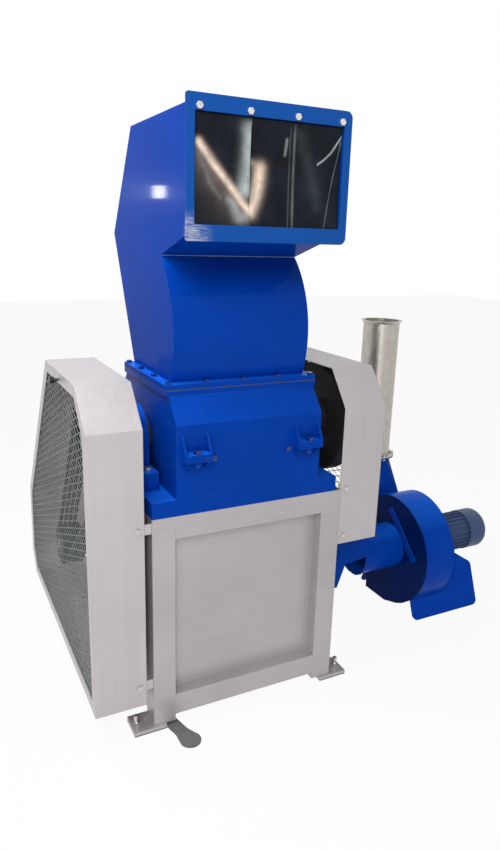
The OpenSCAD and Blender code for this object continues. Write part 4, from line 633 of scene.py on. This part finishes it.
def build_finishes():
    """All the materials, by plain names."""
    c = bpy.context.scene.granulator_finish
    blue, silver, slate = tuple(c.gloss_blue), tuple(c.satin_silver), tuple(c.slate)
    build_shared_groups()

    deep, pale = toned(blue, 0.8), toned(blue, 1.3, 0.003)
    glossy = dict(radius=0.0022, rub=0.10, dust=0.015, draw=0.05, painted_sheen=PAINTED_BLUE_SHEEN)
    painted("gloss_blue", blue, deep, pale, LEVEL_STROKES, 0.24, peel=0.012, specular=0.025, coat=0.03,
            **glossy)
    # the hopper's feed flange takes painted light on its front
    painted("hopper_blue", blue, deep, pale, LEVEL_STROKES, 0.24, peel=0.008, specular=0.004, coat=0.08,
            patch=SCRAPED_PLACE, painted_light_tint=(1, *FLANGE_FACE, PAINTED_LIT_FLANGE_BLUE), **glossy)
    # painted shade: the blower's side plate goes near black past its face
    painted("shaded_blue", blue, deep, pale, SPRAYED, 0.3, peel=0.02, specular=0.02,
            painted_light_tint=(0, *SIDE_PLATE_FACE, PAINTED_SHADE_BLUE), **glossy)
    painted("blower_blue", toned(blue, 1.3), blue, pale, SPRAYED, 0.28, peel=0.02, specular=0.025,
            coat=0.02, **glossy)
    painted("painted_bolts", toned(blue, 0.45), toned(blue, 0.3), pale, (40.0, 40.0, 40.0), 0.22,
            radius=0.001, rub=0.3, dust=0.05, coat=0.3)

    # painted shade: the stand takes the guards' silver made darker, in place of the shade that falls on
    # the lower stand
    painted_shade_silver = toned(silver, 0.87)
    satin = dict(metallic=0.4, rub=0.1, dust=0.05, bare=WORN_STEEL, peel=0.02)
    painted("satin_silver", painted_shade_silver, toned(painted_shade_silver, 0.86), toned(painted_shade_silver, 1.14), LEVEL_STROKES, 0.36,
            radius=0.0025, draw=0.3, **satin)
    painted("guard_silver", silver, toned(silver, 0.88), toned(silver, 1.12), UPRIGHT_STROKES, 0.36,
            radius=0.003, draw=0.25, **satin)
    painted("mesh_paint", (0.15, 0.17, 0.165), (0.09, 0.105, 0.10), (0.28, 0.30, 0.29), (9.0, 9.0, 9.0),
            0.40, metallic=0.35, radius=0.0006, rub=0.3, dust=0.1)
    painted("motor_slate", slate, toned(slate, 0.75), toned(slate, 1.25), CAST, 0.42,
            radius=0.0015, rub=0.15, dust=0.08, specular=0.25, peel=0.08)
    painted("cast_black", (0.018, 0.018, 0.020), (0.010, 0.010, 0.011), (0.05, 0.05, 0.052), CAST, 0.5,
            rub=0.3, dust=0.08, specular=0.15, peel=0.2)
    painted("rotor_paint", (0.10, 0.10, 0.105), (0.05, 0.05, 0.052), (0.2, 0.2, 0.2), CAST, 0.5,
            metallic=0.3, rub=0.5, peel=0.2)

    metal("zinc_plate", (0.62, 0.61, 0.58), (0.38, 0.37, 0.34), 0.30, stain=0.4, rust=0.1)
    metal("machined_steel", (0.52, 0.52, 0.52), (0.32, 0.32, 0.32), 0.26, (160.0, 9.0, 9.0), stain=0.35)
    metal("knife_steel", (0.60, 0.60, 0.60), (0.38, 0.37, 0.36), 0.22, (3.0, 160.0, 160.0), stain=0.3,
          rust=0.15)
    metal("mill_steel", (0.28, 0.28, 0.29), (0.15, 0.15, 0.16), 0.42, (5.0, 90.0, 90.0), stain=0.6,
          rust=0.5, radius=0.002)
    metal("perforated_steel", (0.42, 0.42, 0.42), (0.25, 0.25, 0.26), 0.34, (4.0, 110.0, 110.0),
          rust=0.3)
    metal("weld_metal", (0.20, 0.24, 0.36), (0.05, 0.09, 0.24), 0.40, (300.0, 40.0, 40.0),
          metallic=0.35, radius=0.0008, bump=0.4)
    galvanised("galvanised")

    rubber("belt_rubber", (0.022, 0.022, 0.024), 0.6, 300.0, 0.25)
    rubber("pad_rubber", (0.085, 0.088, 0.09), 0.7, 260.0, 0.3)
    rubber("gasket_rubber", (0.02, 0.02, 0.022), 0.55, 300.0, 0.15)
    rubber("knob_plastic", (0.012, 0.012, 0.013), 0.38, 500.0, 0.12)
    curtain_rubber("curtain_rubber", tuple(c.curtain_black))
    two_tone_bolts("hopper_bolt_mix", BOLT_PAINT_TOP)


# ---------------------------------------------------------------- shaping pieces


def finished(name, bm, material, body, smooth=False, replaces=()):
    """The bmesh as a piece that rides on a body, in its finish."""
    bmesh.ops.recalc_face_normals(bm, faces=bm.faces[:])
    mesh = bpy.data.meshes.new(name)
    bm.to_mesh(mesh)
    bm.free()
    for p in mesh.polygons:
        p.use_smooth = smooth
    ob = bpy.data.objects.new(name, mesh)
    bpy.context.scene.collection.objects.link(ob)
    mesh.materials.append(bpy.data.materials[material])
    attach(ob, body)
    if replaces:
        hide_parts(*replaces)
    return ob


def swept(bm, outline, path, sizes=None):
    """A closed outline of points, carried along a path by extrusion. Sizes swell it at each point."""
    first = last = bm.faces.new([bm.verts.new(path[0] + o) for o in outline])
    for k in range(1, len(path)):
        out = bmesh.ops.extrude_face_region(bm, geom=[last])["geom"]
        moved = [e for e in out if isinstance(e, bmesh.types.BMVert)]
        bmesh.ops.translate(bm, verts=moved, vec=path[k] - path[k - 1])
        if sizes:
            swell = sizes[k] / sizes[k - 1]
            bmesh.ops.scale(bm, verts=moved, vec=(swell,) * 3, space=Matrix.Translation(-path[k]))
        if last is not first:
            bmesh.ops.delete(bm, geom=[last], context="FACES_ONLY")
        last = next(e for e in out if isinstance(e, bmesh.types.BMFace))


def round_outline(radius, points, along):
    """Points of a small circle that stands across a direction."""
    a = along.orthogonal().normalized()
    b = along.cross(a).normalized()
    turns = [2 * math.pi * k / points for k in range(points)]
    return [(a * math.cos(t) + b * math.sin(t)) * radius for t in turns]


def cut_off(bm, geom, point, out, **values):
    """Cuts away what lies past a plane, and closes the cut."""
    cut = bmesh.ops.bisect_plane(bm, geom=geom, plane_co=point, plane_no=out, clear_outer=True, **values)
    rim = [e for e in cut["geom_cut"] if isinstance(e, bmesh.types.BMEdge)]
    bmesh.ops.edgeloop_fill(bm, edges=rim)


def mesh_sheet(name, corners, middle, c, replaces=()):
    """Expanded metal cut to corners (Y, Z): zigzag strands that meet at flat knuckles."""
    half_wave, rise = c.long_way / 2, c.short_way / 4 - c.strand / 4
    low_y, high_y = min(y for y, z in corners), max(y for y, z in corners)
    low_z, high_z = min(z for y, z in corners), max(z for y, z in corners)
    lean = Matrix.Rotation(STRAND_LEAN, 3, "Y")
    t, w = c.gauge / 2, c.strand / 2
    outline = [lean @ Vector(p) for p in ((-t, 0, -w), (t, 0, -w), (t, 0, w), (-t, 0, w))]
    path = []
    for k in range(math.ceil((high_y - low_y) / half_wave) + 3):
        for end in (-0.5, 0.5):
            path.append(Vector((0.0, k * half_wave + end * c.knuckle, rise if k % 2 else -rise)))
    row = bmesh.new()
    swept(row, outline, path)
    strand = bpy.data.meshes.new("strand")
    row.to_mesh(strand)
    row.free()

    bm = bmesh.new()
    for k in range(math.ceil((high_z - low_z) / (c.short_way / 2)) + 2):
        before = len(bm.verts)
        bm.from_mesh(strand)
        bm.verts.ensure_lookup_table()
        start = low_y - half_wave * (2 if k % 2 else 1)
        slide = Vector((middle, start, low_z + k * c.short_way / 2))
        bmesh.ops.translate(bm, verts=bm.verts[before:], vec=slide)
    bpy.data.meshes.remove(strand)

    sides = list(zip(corners, corners[1:] + corners[:1]))
    turn = math.copysign(1, sum(y0 * z1 - y1 * z0 for (y0, z0), (y1, z1) in sides))
    for (y0, z0), (y1, z1) in sides:
        out = Vector((0.0, z1 - z0, y0 - y1)) * turn
        cut_off(bm, bm.verts[:] + bm.edges[:] + bm.faces[:], (0.0, y0, z0), out.normalized())
    finished(name, bm, "mesh_paint", "base", replaces=replaces)


def near_line(place, points):
    """Distance from a place to a bent line, and whether the place is below it."""
    best, under = math.inf, False
    for (x0, y0), (x1, y1) in zip(points, points[1:]):
        dx, dy = x1 - x0, y1 - y0
        t = max(0.0, min(1.0, ((place[0] - x0) * dx + (place[1] - y0) * dy) / (dx * dx + dy * dy)))
        away = math.hypot(place[0] - x0 - t * dx, place[1] - y0 - t * dy)
        if away < best:
            best, under = away, place[1] > y0 + t * dy
    return best, under


def rounding(corner, towards, radius):
    """Planes (point, outward direction) that round a corner (X, Z) of a plate."""
    centre = Vector((corner[0] - towards[0] * radius, 0, corner[1] - towards[1] * radius))
    planes = []
    for degrees in (15, 30, 45, 60, 75):
        a = math.radians(degrees)
        out = Vector((towards[0] * math.cos(a), 0, towards[1] * math.sin(a)))
        planes.append((centre + out * radius, out))
    return planes


def trimmed(node, cuts, inside=lambda co: True):
    """A merged copy of a CAD node's mesh, cut by planes where its points are inside, and closed."""
    bm = bmesh.new()
    bm.from_mesh(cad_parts[node].data)
    bmesh.ops.remove_doubles(bm, verts=bm.verts, dist=1e-5)
    for point, out in cuts:
        faces = [f for f in bm.faces if all(inside(v.co) for v in f.verts)]
        edges = list({e for f in faces for e in f.edges})
        verts = list({v for f in faces for v in f.verts})
        cut_off(bm, verts + edges + faces, point, out, dist=1e-6)
    return bm


def skin(name, bm, material, body, node):
    """A closed copy that stands for its CAD node."""
    if any(not e.is_manifold for e in bm.edges):
        raise RuntimeError(f"{name} isn't closed")
    finished(name, bm, material, body, replaces=[node])


# ---------------------------------------------------------------- operators


class GRANULATOR_OT_studio(bpy.types.Operator):
    """Pale floor, soft lamps, white surroundings and the camera"""

    bl_idname = "granulator.studio"
    bl_label = "Studio"

    def execute(self, context):
        c = context.scene.granulator_studio
        self.floor(context, c.floor_span)
        self.room(context, c.ambient)
        for name, place, target, side in LAMPS:
            data = bpy.data.lights.new(name, "AREA")
            data.energy, data.size = getattr(c, name + "_power"), side
            lamp = bpy.data.objects.new(name, data)
            context.scene.collection.objects.link(lamp)
            lamp.visible_camera = False
            lamp.location = place
            lamp.rotation_euler = (Vector(target) - Vector(place)).to_track_quat("-Z", "Y").to_euler()
        self.camera(context)
        context.scene.view_settings.view_transform = "Standard"
        return {"FINISHED"}

    def floor(self, context, span):
        """A matt floor that keeps a little of its shade where it is seen directly."""
        bm = bmesh.new()
        bmesh.ops.create_grid(bm, x_segments=2, y_segments=2, size=span / 2)
        mesh = bpy.data.meshes.new("floor")
        bm.to_mesh(mesh)
        bm.free()
        floor = bpy.data.objects.new("floor", mesh)
        context.scene.collection.objects.link(floor)
        m = bpy.data.materials.new("studio_floor")
        m.use_nodes = True
        tree = m.node_tree
        tree.nodes.clear()
        matt = add(tree, "ShaderNodeBsdfDiffuse", Color=FLOOR_GREY)
        glow = add(tree, "ShaderNodeEmission", Color=WHITE, Strength=1.0)
        share = add(tree, "ShaderNodeMixShader")
        feed(tree, share.inputs[0], times(tree, seen_directly(tree), FLOOR_GLOW))
        feed(tree, share.inputs[1], matt.outputs[0])
        feed(tree, share.inputs[2], glow.outputs[0])
        out = add(tree, "ShaderNodeOutputMaterial")
        tree.links.new(share.outputs[0], out.inputs["Surface"])
        mesh.materials.append(m)

    def room(self, context, ambient):
        """Even light, and white where it is seen directly."""
        world = bpy.data.worlds.new("studio_room")
        context.scene.world = world
        world.use_nodes = True
        tree = world.node_tree
        tree.nodes.clear()
        level = spread(tree, seen_directly(tree), 0.0, 1.0, ambient, 1.0)
        sky = add(tree, "ShaderNodeBackground", Color=WHITE, Strength=level)
        out = add(tree, "ShaderNodeOutputWorld")
        tree.links.new(sky.outputs[0], out.inputs["Surface"])

    def camera(self, context):
        """The camera, turned by its yaw from the Y axis, its pitch and its roll."""
        data = bpy.data.cameras.new("photo_camera")
        data.lens, data.sensor_width, data.clip_end = CAMERA_LENS_MM, CAMERA_FILM_MM, CAMERA_SIGHT
        camera = bpy.data.objects.new("photo_camera", data)
        context.scene.collection.objects.link(camera)
        yaw, pitch, roll = CAMERA_YAW, CAMERA_PITCH, CAMERA_ROLL
        ahead = (math.sin(yaw) * math.cos(pitch), math.cos(yaw) * math.cos(pitch), math.sin(pitch))
        ahead = Vector(ahead)
        level_right = Vector((math.cos(yaw), -math.sin(yaw), 0.0))
        level_up = level_right.cross(ahead)
        right = level_right * math.cos(roll) + level_up * math.sin(roll)
        up = level_up * math.cos(roll) - level_right * math.sin(roll)
        turn = Matrix((right, up, -ahead)).transposed().to_4x4()
        camera.matrix_world = Matrix.Translation(CAMERA_PLACE) @ turn
        context.scene.camera = camera


class GRANULATOR_OT_finishes(bpy.types.Operator):
    """Builds the finishes and gives every CAD node its own"""

    bl_idname = "granulator.finishes"
    bl_label = "Finishes"

    def execute(self, context):
        build_finishes()
        finish = {node: name for name, nodes in FINISH_OF.items() for node in nodes}
        missed = sorted(set(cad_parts) - set(finish))
        if missed:
            raise RuntimeError(f"no finish for {missed}")
        for name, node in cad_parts.items():
            node.material_slots[0].material = bpy.data.materials[finish[name]]
        return {"FINISHED"}


class GRANULATOR_OT_guard_mesh(bpy.types.Operator):
    """Expanded metal in the belt guard's window"""

    bl_idname = "granulator.guard_mesh"
    bl_label = "Guard mesh"

    def execute(self, context):
        low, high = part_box("guard_mesh")
        depth, height = high.y - low.y, high.z - low.z
        corners = [(low.y + depth * u, low.z + height * v) for u, v in GUARD_WINDOW]
        mesh_sheet("expanded_mesh", corners, (low.x + high.x) / 2,
                   context.scene.granulator_mesh, replaces=["guard_mesh"])
        return {"FINISHED"}


class GRANULATOR_OT_flywheel_guard(bpy.types.Operator):
    """Flywheel guard with expanded metal in its outer side, as on the belt guard"""

    bl_idname = "granulator.flywheel_guard"
    bl_label = "Flywheel guard"

    def execute(self, context):
        low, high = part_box("flywheel_guard")
        bm = bmesh.new()
        side = bm.faces.new([bm.verts.new((high.x, y, z)) for y, z in FLYWHEEL_SIDE])
        bm.normal_update()
        bmesh.ops.inset_region(
            bm, faces=[side], thickness=FLYWHEEL_BORDER, use_even_offset=True, use_boundary=True
        )
        window = [(v.co.y, v.co.z) for v in side.verts]
        bmesh.ops.delete(bm, geom=[side], context="FACES")
        rim = [e for e in bm.edges if e.is_boundary and all(v.co.yz[:] not in window for v in e.verts)]
        out = bmesh.ops.extrude_edge_only(bm, edges=rim)["geom"]
        moved = [e for e in out if isinstance(e, bmesh.types.BMVert)]
        bmesh.ops.translate(bm, verts=moved, vec=(low.x - high.x, 0, 0))

        # the wall grows inwards, so the faces have to point out of the guard
        bmesh.ops.recalc_face_normals(bm, faces=bm.faces[:])
        centre = (low + high) / 2
        if sum(f.normal.dot(f.calc_center_median() - centre) for f in bm.faces) < 0:
            bmesh.ops.reverse_faces(bm, faces=bm.faces[:])
        bmesh.ops.solidify(bm, geom=bm.faces[:], thickness=FLYWHEEL_WALL)
        finished("flywheel_guard_shell", bm, "guard_silver", "base",
                 replaces=["flywheel_guard"])

        middle = Vector((sum(y for y, z in window), sum(z for y, z in window))) / len(window)
        corners = [tuple(middle + (Vector(c) - middle) * MESH_OVERLAP) for c in window]
        mesh_sheet("flywheel_guard_mesh", corners, high.x - FLYWHEEL_WALL - MESH_BEHIND,
                   context.scene.granulator_mesh)
        return {"FINISHED"}


class GRANULATOR_OT_curtain(bpy.types.Operator):
    """The three creased rubber strips of the feed mouth"""

    bl_idname = "granulator.curtain"
    bl_label = "Curtain"

    def execute(self, context):
        for name, creases in CREASES.items():
            body = "strip" + name.removeprefix("curtain")
            self.strip(name, body, creases, context.scene.granulator_curtain)
        return {"FINISHED"}

    def strip(self, name, body, creases, c):
        """A sheet in the strip's own place, with its creases."""
        low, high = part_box(name)
        width, drop = high.x - low.x, high.z - low.z - SHEET_SHORTER
        top, plane = high.z - SHEET_TOP_GAP, (low.y + high.y) / 2
        bm = bmesh.new()
        bmesh.ops.create_grid(bm, x_segments=SHEET_COLUMNS, y_segments=SHEET_ROWS, size=0.5)
        upright = Matrix.Rotation(math.radians(90), 3, "X")
        bmesh.ops.rotate(bm, verts=bm.verts, cent=(0, 0, 0), matrix=upright)
        # the crease and bloom layers hold the strength of the painted warm and grey reflections
        brown, grey = bm.verts.layers.float.new("crease"), bm.verts.layers.float.new("bloom")
        for v in bm.verts:
            u, s = v.co.x + 0.5, 0.5 - v.co.z
            stand, warm_reflection, grey_reflection = self.crease_at(u, s, width, drop, creases)
            held = min(1.0, s / SHEET_HELD)
            wave = (1 + math.sin(7.1 * u + 2.3 * s)) * math.sin(math.pi * min(1.0, s))
            v[brown], v[grey] = warm_reflection * held, grey_reflection * held
            out = c.crease * held * (stand + SHEET_SWAY * wave)
            v.co = Vector((low.x + u * width, plane + out, top - s * drop))
        ob = finished(name + "_sheet", bm, "curtain_rubber", body, smooth=True, replaces=[name])
        thick = ob.modifiers.new("rubber", "SOLIDIFY")
        thick.thickness, thick.offset = c.thickness, 0.0

    def crease_at(self, u, s, width, drop, creases):
        """How far the sheet stands out, and how brown and how grey its painted reflections are, at
        shares of width and drop.
        """
        stand, warm_reflection, grey_reflection = 0.0, 0.0, 0.0
        for points, crest, soft, depth, brown, grey in creases:
            line = [(a * width, b * drop) for a, b in points]
            away, under = near_line((u * width, s * drop), line)
            stand = max(stand, depth * math.exp(-away / (CREASE_PULL * width)))
            tint = math.exp(-((away / (crest * width)) ** 2))
            if under and soft > SOFT_FROM:
                tint = max(tint, SOFT_STRENGTH * math.exp(-away / (SOFT_SPREAD * soft * width)))
            warm_reflection, grey_reflection = max(warm_reflection, brown * tint), max(grey_reflection, grey * tint)
        return stand, warm_reflection, grey_reflection


class GRANULATOR_OT_formed_plates(bpy.types.Operator):
    """Rounds the feed flange, side plate and pedestal, and lengthens the round inlet"""

    bl_idname = "granulator.formed_plates"
    bl_label = "Formed plates"

    def execute(self, context):
        c = context.scene.granulator_plates
        self.feed_flange(c)
        self.side_plate()
        self.pedestal(c)
        self.inlet(c)
        return {"FINISHED"}

    def feed_flange(self, c):
        """The hopper's flange with small left corners and larger right ones."""
        cuts = []
        for x, to_x, radius in (
            (FLANGE_LEFT, -1, c.corner * FLANGE_LEFT_SHARE),
            (FLANGE_RIGHT, 1, c.corner),
        ):
            for z, to_z in ((FLANGE_BOTTOM, -1), (FLANGE_TOP, 1)):
                cuts += rounding((x, z), (to_x, to_z), radius)
        bm = trimmed("hopper_shell", cuts, lambda co: co.y < FLANGE_BACK)
        skin("hopper_skin", bm, "hopper_blue", "hopper", "hopper_shell")

    def side_plate(self):
        """The blower's side plate, with its lower front edge cut to a curve."""
        cuts = []
        for (y0, z0), (y1, z1) in zip(SIDE_PLATE_CURVE, SIDE_PLATE_CURVE[1:]):
            cuts.append((Vector((0, y0, z0)), Vector((0, z1 - z0, y0 - y1)).normalized()))
        bm = trimmed("blower_side_plate", cuts)
        skin("side_plate_skin", bm, "shaded_blue", "base", "blower_side_plate")

    def pedestal(self, c):
        """The pedestal, rounded at three of its corners."""
        low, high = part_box("blower_pedestal")
        cuts = rounding((high.x, low.z), (1, -1), c.bend) + rounding((low.x, low.z), (-1, -1), c.bend)
        cuts += rounding((high.x, high.z), (1, 1), c.bend)
        bm = trimmed("blower_pedestal", cuts)
        skin("pedestal_skin", bm, "blower_blue", "base", "blower_pedestal")

    def inlet(self, c):
        """The duct, its end plate rounded below, and the round inlet that starts nearer to the stand."""
        low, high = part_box("inlet_pipe")
        joint, centre = low.x, (low + high) / 2
        round_below = []
        for degrees in range(-165, 0, 15):
            a = math.radians(degrees)
            out = Vector((0, math.cos(a), math.sin(a)))
            round_below.append((centre + out * DUCT_END_RADIUS, out))
        for node, cuts in (("suction_duct", round_below), ("inlet_pipe", ())):
            bm = trimmed(node, cuts, lambda co: co.x > joint - DUCT_END_PLATE)
            ends = [v for v in bm.verts if abs(v.co.x - joint) < DUCT_JOINT]
            bmesh.ops.translate(bm, verts=ends, vec=(-c.inlet, 0, 0))
            skin(node + "_skin", bm, "blower_blue", "base", node)


class GRANULATOR_OT_weld_bead(bpy.types.Operator):
    """Weld bead along the seam under the feed mouth"""

    bl_idname = "granulator.weld_bead"
    bl_label = "Weld bead"

    def execute(self, context):
        start, end = BELLY_SEAM
        along = end - start
        steps = int(along.length / BEAD_RIPPLE)
        path = [start + along * (k / steps) for k in range(steps + 1)]
        sizes = [1.0 + 0.16 * math.sin(k * 2.4) + 0.08 * math.sin(k * 0.7) for k in range(steps + 1)]
        bm = bmesh.new()
        swept(bm, round_outline(BEAD_RADIUS, 8, along), path, sizes)
        finished("weld_belly", bm, "weld_metal", "hopper", smooth=True)
        return {"FINISHED"}


# ---------------------------------------------------------------- panel and run


class GRANULATOR_PT_panel(bpy.types.Panel):
    """Lists the makers and their settings"""

    bl_idname = "GRANULATOR_PT_panel"
    bl_label = "Granulator"
    bl_space_type = "VIEW_3D"
    bl_region_type = "UI"
    bl_category = "Granulator"

    def draw(self, context):
        for maker in MAKERS:
            self.layout.operator(maker.bl_idname)
        for settings, _ in SETTINGS:
            values = getattr(context.scene, settings)
            for key in values.bl_rna.properties.keys():
                if key not in {"name", "rna_type"}:
                    self.layout.prop(values, key)


MAKERS = (
    GRANULATOR_OT_studio,
    GRANULATOR_OT_finishes,
    GRANULATOR_OT_guard_mesh,
    GRANULATOR_OT_flywheel_guard,
    GRANULATOR_OT_curtain,
    GRANULATOR_OT_formed_plates,
    GRANULATOR_OT_weld_bead,
)
SETTINGS = (
    ("granulator_studio", StudioSettings),
    ("granulator_finish", FinishSettings),
    ("granulator_mesh", MeshSettings),
    ("granulator_curtain", CurtainSettings),
    ("granulator_plates", PlateSettings),
)


def register():
    for name, kind in SETTINGS:
        bpy.utils.register_class(kind)
        setattr(bpy.types.Scene, name, bpy.props.PointerProperty(type=kind))
    for kind in (*MAKERS, GRANULATOR_PT_panel):
        bpy.utils.register_class(kind)


def unregister():
    for kind in (GRANULATOR_PT_panel, *reversed(MAKERS)):
        bpy.utils.unregister_class(kind)
    for name, kind in reversed(SETTINGS):
        delattr(bpy.types.Scene, name)
        bpy.utils.unregister_class(kind)


def main():
    """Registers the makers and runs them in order."""
    register()
    for maker in MAKERS:
        section, _, verb = maker.bl_idname.partition(".")
        getattr(getattr(bpy.ops, section), verb)()


if __name__ == "__main__":
    main()
